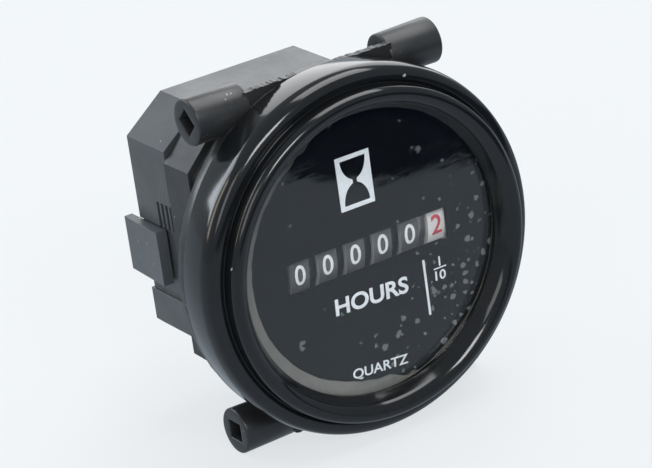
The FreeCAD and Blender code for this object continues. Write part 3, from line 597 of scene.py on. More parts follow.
@dataclass(frozen=True)
class LensFinish:
    """Clear moulded plastic, faintly wavy and smeared."""

    name: str = "clear_plastic"
    tint: Colour = (0.97, 0.985, 0.99)
    index: float = 1.49
    wave_scale: float = 95.0
    wave_height: float = 0.00002
    smear_scale: float = 140.0
    smear: float = 0.035
    shade: Colour = grey(0.94)

    def make(self) -> bpy.types.Material:
        """Builds the glass; light from lamps passes straight through it.

        Returns:
            The finished material.
        """
        material, graph, shader, place = new_material(self.name)
        marks = graph.group(
            Effects.smudges(), Place=place, Scale=self.smear_scale, Low=0.0, High=self.smear
        )
        wave = graph.group(Effects.grain(), Place=place, Scale=self.wave_scale)
        bump = graph.add("Bump", {"Height": wave.outputs["Height"], "Distance": self.wave_height})
        graph.feed(
            shader,
            {
                "Base Color": paint(self.tint),
                "Transmission Weight": 1.0,
                "IOR": self.index,
                "Roughness": marks.outputs[0],
                "Normal": bump.outputs[0],
            },
        )
        clear = graph.add("BsdfTransparent", {"Color": paint(self.shade)})
        path = graph.add("LightPath")
        mix = graph.add(
            "MixShader",
            {0: path.outputs["Is Shadow Ray"], 1: shader.outputs[0], 2: clear.outputs[0]},
        )
        graph.feed(material.node_tree.nodes["Material Output"], {0: mix.outputs[0]})
        return material


class Look(Enum):
    """Every finish on the meter."""

    BEZEL = Finish(
        "bezel_gloss", grey(0.006, -0.14), grey(0.0075, -0.16), (0.1, 0.13), 1500.0, 0.0000003,
        worn=grey(0.03), wear=0.05, dust=0.006, dust_scale=700.0, dust_colour=grey(0.3),
    )
    CASE = Finish(
        "case_matte", grey(0.062, -0.08), grey(0.074, -0.06), (0.36, 0.46), 5200.0, 0.000014,
        worn=grey(0.2), wear=0.35, dust=0.05,
    )
    # The case plastic again, painted darker: painted shade for the front case, which stands in
    # shadow.
    FRONT_CASE = Finish(
        "front_case_painted_shade", grey(0.024, -0.08), grey(0.032, -0.06), (0.38, 0.5), 5200.0, 0.00002,
        worn=grey(0.12), wear=0.35, dust=0.05,
    )
    RUBBER = Finish(
        "ring_rubber", grey(0.018, -0.1), grey(0.025, -0.06), (0.3, 0.4), 3000.0, 0.000008,
        worn=grey(0.06), wear=0.4, dust=0.05,
    )
    LATCH = Finish(
        "latch_matte", grey(0.082, -0.12), grey(0.098, -0.1), (0.45, 0.6), 5200.0, 0.000014,
        worn=grey(0.26), wear=0.5, dust=0.08,
    )
    DIAL = DialFinish(
        "dial_ink", grey(0.0035, -0.1), grey(0.0045, -0.15), (0.7, 0.8), 1500.0, 0.0000002,
        dust=0.05, dust_colour=grey(0.4), wear=0.0, specular=0.0,
    )
    PRINT = Finish(
        "dial_print", grey(0.78, -0.04), grey(0.84, -0.04), (0.4, 0.5), 6000.0, 0.000001,
        patch_scale=1500.0, wear=0.0, dust=0.04, dust_colour=grey(0.5),
    )
    DRUM = DrumFinish(
        "drum_black", grey(0.08, -0.04), grey(0.105, -0.03), (0.35, 0.5), 3000.0, 0.000006,
        worn=grey(0.2), wear=0.5, dust=0.14, dust_colour=grey(0.3),
    )
    WHITE_DRUM = DrumFinish(
        "drum_white", grey(0.72, 0.02), grey(0.66, 0.03), (0.35, 0.5), 3000.0, 0.000006,
        worn=grey(0.8), wear=0.2, dust=0.05, bare=grey(0.55, 0.02),
    )
    DIGIT = Finish(
        "digit_white", grey(0.9), grey(0.86), (0.4, 0.5), 6000.0, 0.000001,
        patch_scale=1500.0, wear=0.0, dust=0.03, dust_colour=grey(0.5),
    )
    RED_DIGIT = Finish(
        "digit_red", (0.62, 0.07, 0.09), (0.55, 0.05, 0.07), (0.4, 0.5), 6000.0, 0.000003,
        patch_scale=1500.0, wear=0.0, dust=0.02,
    )
    NYLON = Finish(
        "gear_nylon", grey(0.55, 0.06), grey(0.5, 0.08), (0.35, 0.5), 3000.0, 0.000008,
        worn=grey(0.7), wear=0.3, dust=0.04,
    )
    STEEL = Finish(
        "bright_steel", grey(0.52), grey(0.46), (0.22, 0.36), 5000.0, 0.000003,
        worn=grey(0.7), wear=0.3, dust=0.02, metallic=1.0,
    )
    NICKEL = Finish(
        "plated_sheet", grey(0.44, 0.04), grey(0.38, 0.04), (0.28, 0.42), 2500.0, 0.000004,
        worn=grey(0.6), wear=0.4, dust=0.04, metallic=1.0,
    )
    IRON = Finish(
        "magnet_iron", grey(0.3), grey(0.24), (0.35, 0.5), 2500.0, 0.000008,
        worn=grey(0.5), wear=0.3, dust=0.03, metallic=1.0,
    )
    MAGNET = Finish(
        "pressed_magnet", grey(0.05), grey(0.07), (0.35, 0.5), 4000.0, 0.00001,
        worn=grey(0.25), wear=0.5, dust=0.02, metallic=0.6,
    )
    BRASS = Finish(
        "brass", (0.62, 0.43, 0.16), (0.5, 0.34, 0.13), (0.22, 0.4), 2600.0, 0.000004,
        worn=(0.8, 0.6, 0.3), wear=0.5, dust=0.02, metallic=1.0,
    )
    # Copper in a lit tone and a painted shade tone, for the bright and dark lines of the turns.
    COPPER = WoundFinish(
        "enamelled_wire", (0.6, 0.2, 0.07), (0.2, 0.06, 0.025), (0.25, 0.4), 3000.0, 0.000004,
        wear=0.1, dust=0.01, metallic=0.7,
    )
    BOARD = BoardFinish(
        "circuit_board", (0.01, 0.075, 0.03), (0.014, 0.09, 0.035), (0.3, 0.45), 3000.0, 0.000005,
        worn=(0.3, 0.3, 0.12), wear=0.4, dust=0.03,
    )
    CHIP = Finish(
        "chip_epoxy", grey(0.018), grey(0.025), (0.5, 0.65), 6000.0, 0.00001,
        worn=grey(0.08), wear=0.3, dust=0.02,
    )
    SLEEVE = Finish(
        "capacitor_sleeve", (0.012, 0.02, 0.075), (0.015, 0.024, 0.09), (0.28, 0.4), 2000.0,
        0.000004, worn=grey(0.2), wear=0.3, dust=0.02,
    )
    CERAMIC = Finish(
        "resistor_body", (0.46, 0.33, 0.2), (0.4, 0.29, 0.17), (0.45, 0.6), 3000.0, 0.000008,
        worn=grey(0.5), wear=0.2, dust=0.02,
    )
    GLUE = GlueFinish(
        "gasket_and_glue", grey(0.006), grey(0.008), (0.3, 0.55), 1800.0, 0.00003,
        wear=0.0, dust=0.05,
    )
    LENS = LensFinish()


class Paints:
    """Hands out each finish's material, made once."""

    _made: dict[Look, bpy.types.Material] = {}

    @classmethod
    def get(cls, look: Look) -> bpy.types.Material:
        """The material of one finish.

        Args:
            look: the finish.

        Returns:
            Its material.
        """
        if look not in cls._made:
            cls._made[look] = look.value.make()
        return cls._made[look]


# ------------------------------------------------------------------ modelling helpers


def lathe(profile: list[tuple[float, float, float, int]], steps: int) -> bmesh.types.BMesh:
    """Turns a closed outline about the dial's axis.

    Args:
        profile: corners as radius, Y, rounding and the segments of that rounding.
        steps: how many stretches make the full turn.

    Returns:
        A closed shell with its faces outwards, in millimetres.
    """
    shell = bmesh.new()
    corners = [shell.verts.new((radius, y, 0)) for radius, y, _, _ in profile]
    for index, corner in enumerate(corners):
        shell.edges.new((corner, corners[(index + 1) % len(corners)]))
    for corner, (_, _, rounding, segments) in zip(corners, profile):
        if rounding:
            bmesh.ops.bevel(
                shell, geom=[corner], offset=rounding, offset_type="OFFSET", segments=segments,
                profile=0.5, affect="VERTICES", material=-1,
            )
    bmesh.ops.spin(
        shell, geom=shell.verts[:] + shell.edges[:], cent=(0, 0, 0), axis=(0, 1, 0),
        angle=FULL_TURN, steps=steps, use_merge=True,
    )
    bmesh.ops.remove_doubles(shell, verts=shell.verts[:], dist=MERGE)
    bmesh.ops.recalc_face_normals(shell, faces=shell.faces[:])
    return shell


def join(whole: bmesh.types.BMesh, part: bmesh.types.BMesh) -> None:
    """Adds a part to a shape and frees the part.

    Args:
        whole: the shape that gains the part.
        part: the part, which is used up.
    """
    mesh = bpy.data.meshes.new("part")
    part.to_mesh(mesh)
    part.free()
    whole.from_mesh(mesh)
    bpy.data.meshes.remove(mesh)


def raise_copy(shape: bmesh.types.BMesh, faces: list | None = None) -> list:
    """Extrudes faces, or the whole of a flat shape, and leaves the first ones in place.

    Args:
        shape: the shape that gains the new faces.
        faces: the faces to extrude; without them the whole shape is.

    Returns:
        The new vertices, which still lie on the first ones.
    """
    geometry = faces or shape.faces[:] + shape.edges[:] + shape.verts[:]
    made = bmesh.ops.extrude_face_region(shape, geom=geometry, use_keep_orig=True)
    return [item for item in made["geom"] if isinstance(item, bmesh.types.BMVert)]


def rectangle(shape: bmesh.types.BMesh, x: float, y: float, width: float, height: float) -> None:
    """Adds a flat rectangle, given its middle and its size.

    Args:
        shape: the shape that gains it.
        x: its middle, across.
        y: its middle, upwards.
        width: its size across.
        height: its size upwards.
    """
    bmesh.ops.create_grid(
        shape, x_segments=1, y_segments=1, size=HALF,
        matrix=Matrix.Translation((x, y, 0)) @ Matrix.Diagonal((width, height, 1, 1)),
    )


def finish_piece(
    shape: bmesh.types.BMesh | bpy.types.Mesh,
    name: str,
    body: str,
    look: Look,
    replaced: tuple[str, ...] = (),
    sharp: float = 32.0,
) -> bpy.types.Object:
    """Makes a shape a piece of the model, in metres and in its place.

    Args:
        shape: the shape in millimetres; a bmesh is used up.
        name: the piece's name.
        body: the body that it moves with.
        look: its finish.
        replaced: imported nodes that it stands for.
        sharp: the angle in degrees past which an edge is shaded sharp.

    Returns:
        The new object.
    """
    if isinstance(shape, bmesh.types.BMesh):
        mesh = bpy.data.meshes.new(name)
        shape.to_mesh(mesh)
        shape.free()
    else:
        mesh = shape
        mesh.name = name
    mesh.transform(Matrix.Scale(MM, 4))
    mesh.polygons.foreach_set("use_smooth", [True] * len(mesh.polygons))
    mesh.set_sharp_from_angle(angle=math.radians(sharp))
    mesh.materials.clear()
    mesh.materials.append(Paints.get(look))
    piece = bpy.data.objects.new(name, mesh)
    bpy.context.scene.collection.objects.link(piece)
    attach(piece, body)
    if replaced:
        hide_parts(*replaced)
    log.info("%s: %d faces on %s", name, len(mesh.polygons), body)
    return piece


def dress_node(node: str, look: Look) -> None:
    """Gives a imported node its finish.

    Args:
        node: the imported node.
        look: its finish.
    """
    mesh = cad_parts[node].data
    mesh.materials.clear()
    mesh.materials.append(Paints.get(look))
    log.info("%s: dressed as %s", node, look.name.lower())


def soften(node: str, body: str, look: Look, width: float) -> bpy.types.Object:
    """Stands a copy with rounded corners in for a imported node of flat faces.

    Args:
        node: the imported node.
        body: the body that it moves with.
        look: its finish.
        width: how far a corner is cut back, in millimetres.

    Returns:
        The new object.
    """
    shape = bmesh.new()
    shape.from_mesh(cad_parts[node].data)
    bmesh.ops.remove_doubles(shape, verts=shape.verts[:], dist=WELD)
    bmesh.ops.dissolve_limit(
        shape, angle_limit=math.radians(1), verts=shape.verts[:], edges=shape.edges[:]
    )
    bmesh.ops.scale(shape, vec=(1 / MM,) * 3, verts=shape.verts[:])
    piece = finish_piece(shape, node + "_soft", body, look, (node,))
    bevel = piece.modifiers.new("corners", "BEVEL")
    bevel.width = width * MM
    bevel.segments = 2
    bevel.limit_method = "ANGLE"
    bevel.angle_limit = math.radians(CORNER_ANGLE)
    bevel.harden_normals = True
    return piece


def lettering(text: str, bold: float = 0.0) -> bpy.types.Mesh:
    """Flat lettering as a mesh in its own plane.

    Args:
        text: what it says.
        bold: how far the strokes are swelled.

    Returns:
        The mesh, in the font's own units.
    """
    curve = bpy.data.curves.new("lettering", "FONT")
    curve.body = text
    curve.offset = bold
    curve.resolution_u = 8
    writer = bpy.data.objects.new("lettering", curve)
    bpy.context.scene.collection.objects.link(writer)
    bpy.context.view_layer.update()
    mesh = bpy.data.meshes.new_from_object(
        writer.evaluated_get(bpy.context.evaluated_depsgraph_get())
    )
    bpy.data.objects.remove(writer)
    bpy.data.curves.remove(curve)
    return mesh


def fit_flat(mesh: bpy.types.Mesh, width: float, height: float) -> bmesh.types.BMesh:
    """Stretches flat lettering about its middle.

    Args:
        mesh: the lettering, which is used up.
        width: its new width, or zero to keep its own proportions.
        height: its new height.

    Returns:
        The lettering at its new size.
    """
    shape = bmesh.new()
    shape.from_mesh(mesh)
    bpy.data.meshes.remove(mesh)
    across = [vert.co.x for vert in shape.verts]
    up = [vert.co.y for vert in shape.verts]
    middle = Vector(((min(across) + max(across)) / 2, (min(up) + max(up)) / 2, 0))
    bmesh.ops.translate(shape, vec=-middle, verts=shape.verts[:])
    tall = height / (max(up) - min(up))
    wide = width / (max(across) - min(across)) if width else tall
    bmesh.ops.scale(shape, vec=(wide, tall, 1), verts=shape.verts[:])
    return shape


# ------------------------------------------------------------------ sub-assemblies


@dataclass
class FrontGroup:
    """The bezel, the lens and its glued gasket."""

    steps: int = 256
    lens_steps: int = 128
    sharp: float = 50.0
    skirt_back: float = -2.5
    skirt_radius: float = 28.65
    shoulder_radius: float = 29.0
    shoulder_back: float = -8.7
    shoulder_edge: float = 28.2
    shoulder_front: float = -10.3
    groove_edge: float = 26.75
    groove_floor: float = 26.3
    groove_depth: float = -9.95
    roll_outside: float = 26.1
    roll_inside: float = 23.9
    roll_front: float = -12.9
    lip_edge: float = 22.55
    lip_radius: float = 22.4
    lip_front: float = -10.1
    lens_gap: float = 0.01
    hook_radius: float = 26.9
    hook_front: float = -4.5
    hook_back: float = -3.6
    lens_radius: float = 24.9
    lens_rim: float = 0.5
    lens_front: float = -9.5
    lens_back: float = -8.3
    pocket_radius: float = 25.1
    pocket_back: float = -7.0
    skirt_inside: float = 27.55
    gasket_back: float = -7.8
    gasket_front: float = -8.28
    glue_start: float = 98.0
    glue_end: float = 284.0
    glue_ramp: float = 24.0
    glue_drift: float = 6.0
    glue_reach: float = 2.45
    glue_waves: float = 0.5
    glue_swell: float = 0.06
    glued_edge: float = 0.2
    gasket_width: float = 1.9

    def bezel(self) -> bpy.types.Object:
        """The stepped ring: skirt, wide shoulder, groove, rolled crest and lip.

        Returns:
            The new object.
        """
        profile = [
            (self.skirt_inside, self.skirt_back, 0.15, 2),
            (self.skirt_radius, self.skirt_back, 0.25, 3),
            (self.shoulder_radius, self.shoulder_back, 1.0, 8),
            (self.shoulder_edge, self.shoulder_front, 1.1, 8),
            (self.groove_edge, self.shoulder_front - 0.1, 0.25, 4),
            (self.groove_floor, self.groove_depth, 0.12, 2),
            (self.roll_outside + 0.02, self.groove_depth - 0.05, 0.08, 2),
            (self.roll_outside, self.roll_front, 1.05, 12),
            (self.roll_inside, self.roll_front, 1.3, 10),
            (self.lip_edge, self.lip_front - 0.25, 0.4, 5),
            (self.lip_radius, self.lip_front, 0.1, 2),
            (self.lip_radius, self.lens_front - self.lens_gap, 0.0, 0),
            (self.pocket_radius, self.lens_front - self.lens_gap, 0.0, 0),
            (self.pocket_radius, self.pocket_back, 0.0, 0),
            (self.skirt_inside, self.pocket_back, 0.0, 0),
            (self.skirt_inside, self.hook_front, 0.0, 0),
            (self.hook_radius, self.hook_front, 0.0, 0),
            (self.hook_radius, self.hook_back, 0.0, 0),
        ]
        return finish_piece(
            lathe(profile, self.steps), "bezel_ring", "case", Look.BEZEL,
            ("bezel",), self.sharp,
        )

    def lens(self) -> bpy.types.Object:
        """The clear disc, with a fine chamfer round each face.

        Returns:
            The new object.
        """
        profile = [
            (0.0, self.lens_front, 0.0, 0),
            (self.lens_radius - self.lens_rim, self.lens_front, 0.0, 0),
            (self.lens_radius, self.lens_front, 0.15, 2),
            (self.lens_radius, self.lens_back, 0.15, 2),
            (self.lens_radius - self.lens_rim, self.lens_back, 0.0, 0),
            (0.0, self.lens_back, 0.0, 0),
        ]
        return finish_piece(
            lathe(profile, self.lens_steps), "lens_disc", "case", Look.LENS,
            ("lens",),
        )

    def gasket(self) -> bpy.types.Object:
        """The gasket, with glue squeezed inwards along its left and lower arc.

        Returns:
            The new object.
        """
        inner = self.lens_radius - self.gasket_width
        profile = [
            (inner, self.gasket_front, 0.08, 2),
            (self.lens_radius, self.gasket_front, 0.0, 0),
            (self.lens_radius, self.gasket_back, 0.0, 0),
            (inner, self.gasket_back, 0.08, 2),
        ]
        shell = lathe(profile, self.steps)
        for vert in shell.verts:
            radius = math.hypot(vert.co.x, vert.co.z)
            if radius > inner + self.glued_edge:
                continue
            angle = math.degrees(math.atan2(vert.co.z, vert.co.x)) % 360
            ripple = noise.noise(Vector((vert.co.x, 0, vert.co.z)) * self.glue_waves)
            drift = self.glue_drift * ripple
            begun = min(1.0, max(0.0, (angle + drift - self.glue_start) / self.glue_ramp))
            left = min(1.0, max(0.0, (self.glue_end + drift - angle) / self.glue_ramp))
            reach = self.glue_reach * math.sqrt(begun * left) * (1 + self.glue_swell * ripple)
            vert.co.x *= (radius - reach) / radius
            vert.co.z *= (radius - reach) / radius
        return finish_piece(
            shell, "glued_gasket", "case", Look.GLUE, ("lens_gasket",)
        )

    def build(self) -> None:
        """Makes the three pieces."""
        self.bezel()
        self.lens()
        self.gasket()


@dataclass(frozen=True)
class Label:
    """One line of lettering: its words, middle, size, lean in degrees and added weight."""

    name: str
    text: str
    x: float
    z: float
    width: float
    height: float
    lean: float
    bold: float


@dataclass
class DialPrinting:
    """The dial plate and the marks printed on it."""

    front: float = -7.81
    thickness: float = 0.02
    labels: tuple[Label, ...] = (
        Label("unit_label", "HOURS", -0.2, -7.5, 13.3, 2.75, -2.2, 0.026),
        Label("type_label", "QUARTZ", -0.4, -19.35, 10.1, 1.9, -4.4, 0.018),
        Label("fraction_one", "1", 12.55, -6.05, 0.0, 1.55, -2.0, 0.02),
        Label("fraction_ten", "10", 12.45, -8.3, 1.95, 1.55, -2.0, 0.02),
    )
    glass_left: float = -3.44
    glass_right: float = 2.68
    glass_bottom: float = 7.18
    glass_top: float = 15.75
    bulb_width: float = 4.5
    bulb_reach: float = 0.93
    bulb_fullness: float = 0.55
    neck_width: float = 0.75
    glass_rim: float = 0.72
    glass_strips: int = 48
    glass_end: float = 0.999
    divider: tuple[float, float, float] = (9.68, -4.94, -14.07)
    divider_width: float = 0.42
    fraction: tuple[float, float, float] = (11.35, 13.65, -7.1)
    fraction_width: float = 0.22

    def print_mark(
        self, shape: bmesh.types.BMesh, name: str, x: float, z: float, lean: float = 0.0
    ) -> bpy.types.Object:
        """Stands a flat mark up on the dial's face and gives it the thickness of ink.

        Args:
            shape: the mark in its own plane; it is used up.
            name: the piece's name.
            x: where its middle goes, to the right.
            z: where its middle goes, upwards.
            lean: how far it is turned, in degrees.

        Returns:
            The new object.
        """
        turn = Matrix.Rotation(math.radians(lean), 4, "Z")
        stand = Matrix.Rotation(math.radians(90), 4, "X")
        move = Matrix.Translation((x, self.front, z))
        bmesh.ops.transform(shape, matrix=move @ stand @ turn, verts=shape.verts[:])
        bmesh.ops.translate(shape, vec=(0, -self.thickness, 0), verts=raise_copy(shape))
        bmesh.ops.recalc_face_normals(shape, faces=shape.faces[:])
        return finish_piece(shape, name, "case", Look.PRINT)

    def words(self, label: Label) -> bpy.types.Object:
        """Prints one line of lettering.

        Args:
            label: the line.

        Returns:
            The new object.
        """
        shape = fit_flat(lettering(label.text, label.bold), label.width, label.height)
        bmesh.ops.remove_doubles(shape, verts=shape.verts[:], dist=MERGE)
        return self.print_mark(shape, label.name, label.x, label.z, label.lean)

    def bars(self) -> bpy.types.Object:
        """The upright divider and the fraction's line.

        Returns:
            The new object.
        """
        shape = bmesh.new()
        x, top, bottom = self.divider
        left, right, level = self.fraction
        rectangle(shape, x, (top + bottom) / 2, self.divider_width, top - bottom)
        rectangle(shape, (left + right) / 2, level, right - left, self.fraction_width)
        return self.print_mark(shape, "printed_bars", 0, 0)

    def half_width(self, height: float) -> float:
        """Half the width of the glass at a height from -1 to 1.

        Args:
            height: 0 at the neck, 1 at the top, -1 at the foot.

        Returns:
            The half width, in millimetres.
        """
        along = (1 - abs(height)) / self.bulb_reach
        bulb = max(0.0, 1 - along**2.0) ** self.bulb_fullness
        return max(self.neck_width / 2, bulb * self.bulb_width / 2)

    def sand_glass(self) -> bpy.types.Object:
        """A pale panel with a sand glass left bare in it, built strip by strip.

        Returns:
            The new object.
        """
        shape = bmesh.new()
        middle = (self.glass_left + self.glass_right) / 2
        centre = (self.glass_bottom + self.glass_top) / 2
        half = (self.glass_right - self.glass_left) / 2
        tall = (self.glass_top - self.glass_bottom) / 2
        rim = self.glass_rim
        strips = self.glass_strips
        for side in (-1, 1):
            grid = bmesh.ops.create_grid(shape, x_segments=1, y_segments=strips, size=HALF)
            for vert in grid["verts"]:
                height = vert.co.y * 2
                inside = abs(height) < self.glass_end
                inner = self.half_width(height) if inside else self.bulb_width / 2
                reach = half if vert.co.x > 0 else inner
                vert.co = Vector((side * reach, height * (tall - rim), 0))
            rectangle(shape, 0, side * (tall - rim / 2), 2 * half, rim)
        bmesh.ops.recalc_face_normals(shape, faces=shape.faces[:])
        return self.print_mark(shape, "sand_glass_mark", middle, centre)

    def build(self) -> None:
        """Prints the dial."""
        dress_node("dial_plate", Look.DIAL)
        for label in self.labels:
            self.words(label)
        self.bars()
        self.sand_glass()


@dataclass
class Counter:
    """The drums with their digits, the carry pinions, the shafts and the frame."""

    names: tuple[str, ...] = ("ten_thousands", "thousands", "hundreds", "tens", "units", "tenths")
    first: float = -11.35
    pitch: float = 5.0
    radius: float = 8.0
    axis_back: float = 1.3
    digit_width: float = 1.9
    digit_height: float = 3.3
    face_height: float = -0.6
    digit_bold: float = 0.012
    ink: float = 0.025
    ink_foot: float = 0.004
    slices: int = 10
    shown: tuple[int, ...] = (0, 0, 0, 0, 0, 2)

    def wrap(self, shape: bmesh.types.BMesh, turn: float, x: float) -> None:
        """Bends flat lettering round the drum.

        Args:
            shape: lettering in its own plane, centred on zero.
            turn: where its middle stands, in radians up from the front.
            x: the drum's middle.
        """
        span = self.digit_height
        for index in range(1, self.slices):
            level = (index / self.slices - HALF) * span
            bmesh.ops.bisect_plane(
                shape, geom=shape.verts[:] + shape.edges[:] + shape.faces[:], dist=CUT,
                plane_co=(0, level, 0), plane_no=(0, 1, 0),
            )
        raised = set(raise_copy(shape))
        for vert in shape.verts:
            angle = turn + vert.co.y / self.radius
            out = self.radius + (self.ink if vert in raised else self.ink_foot)
            vert.co = Vector(
                (x + vert.co.x, self.axis_back - out * math.cos(angle), out * math.sin(angle))
            )
        bmesh.ops.recalc_face_normals(shape, faces=shape.faces[:])

    def digits(self, index: int) -> bpy.types.Object:
        """Ten digits round one drum, the shown one at the window.

        Args:
            index: which drum, from the left.

        Returns:
            The printed digits as one piece.
        """
        whole = bmesh.new()
        start = math.asin(self.face_height / self.radius)
        for digit in range(FIGURES):
            width = 0.0 if digit == 1 else self.digit_width
            flat = fit_flat(lettering(str(digit), self.digit_bold), width, self.digit_height)
            bmesh.ops.remove_doubles(flat, verts=flat.verts[:], dist=MERGE)
            steps = (digit - self.shown[index]) % FIGURES
            turn = start - steps * FULL_TURN / FIGURES
            self.wrap(flat, turn, self.first + index * self.pitch)
            join(whole, flat)
        name = self.names[index]
        last = name == "tenths"
        return finish_piece(
            whole,
            name + "_digits",
            name + "_drum",
            Look.RED_DIGIT if last else Look.DIGIT,
        )

    def build(self) -> None:
        """Dresses the drums and prints their digits."""
        for index, name in enumerate(self.names):
            dress_node(name + "_wheel", Look.WHITE_DRUM if name == "tenths" else Look.DRUM)
            self.digits(index)
            if name != "tenths":
                dress_node(name + "_pinion", Look.NYLON)
        for node in ("left_sleeve", "right_sleeve", "idler_gear"):
            dress_node(node, Look.NYLON)
        for node in ("wheel_shaft", "pinion_shaft", "frame_screws", "idler_arbor"):
            dress_node(node, Look.STEEL)
        dress_node("counter_frame", Look.NICKEL)


@dataclass
class Movement:
    """The step motor and the circuit board that drives it."""

    looks: dict[str, Look] = field(
        default_factory=lambda: {
            "motor_rotor": Look.MAGNET,
            "motor_stator": Look.IRON,
            "coil_core": Look.IRON,
            "coil_bobbin": Look.NYLON,
            "coil_winding": Look.COPPER,
            "upper_spacer": Look.BRASS,
            "lower_spacer": Look.BRASS,
            "rotor_bridge": Look.BRASS,
            "circuit_board": Look.BOARD,
            "quartz_crystal": Look.STEEL,
            "timer_chip": Look.CHIP,
            "capacitor": Look.SLEEVE,
            "resistor": Look.CERAMIC,
            "board_screws": Look.STEEL,
        }
    )

    def build(self) -> None:
        """Dresses every piece of the movement."""
        for node, look in self.looks.items():
            dress_node(node, look)


@dataclass
class Case:
    """The case halves, the snap latches and the terminals."""

    corner: float = 0.22
    latch_corner: float = 0.12
    blade_corner: float = 0.1

    def build(self) -> None:
        """Makes the case's pieces."""
        # The front case takes the darker copy of the case plastic, which is its painted shade.
        soften("front_case", "case", Look.FRONT_CASE, self.corner)
        soften("rear_cover", "case", Look.CASE, self.corner)
        for side in ("left", "right"):
            node = f"side_latch_{side}"
            soften(node, f"{side}_latch", Look.LATCH, self.latch_corner)
            dress_node(f"latch_pin_{side}", Look.STEEL)
            soften(f"{side}_terminal", "case", Look.BRASS, self.blade_corner)


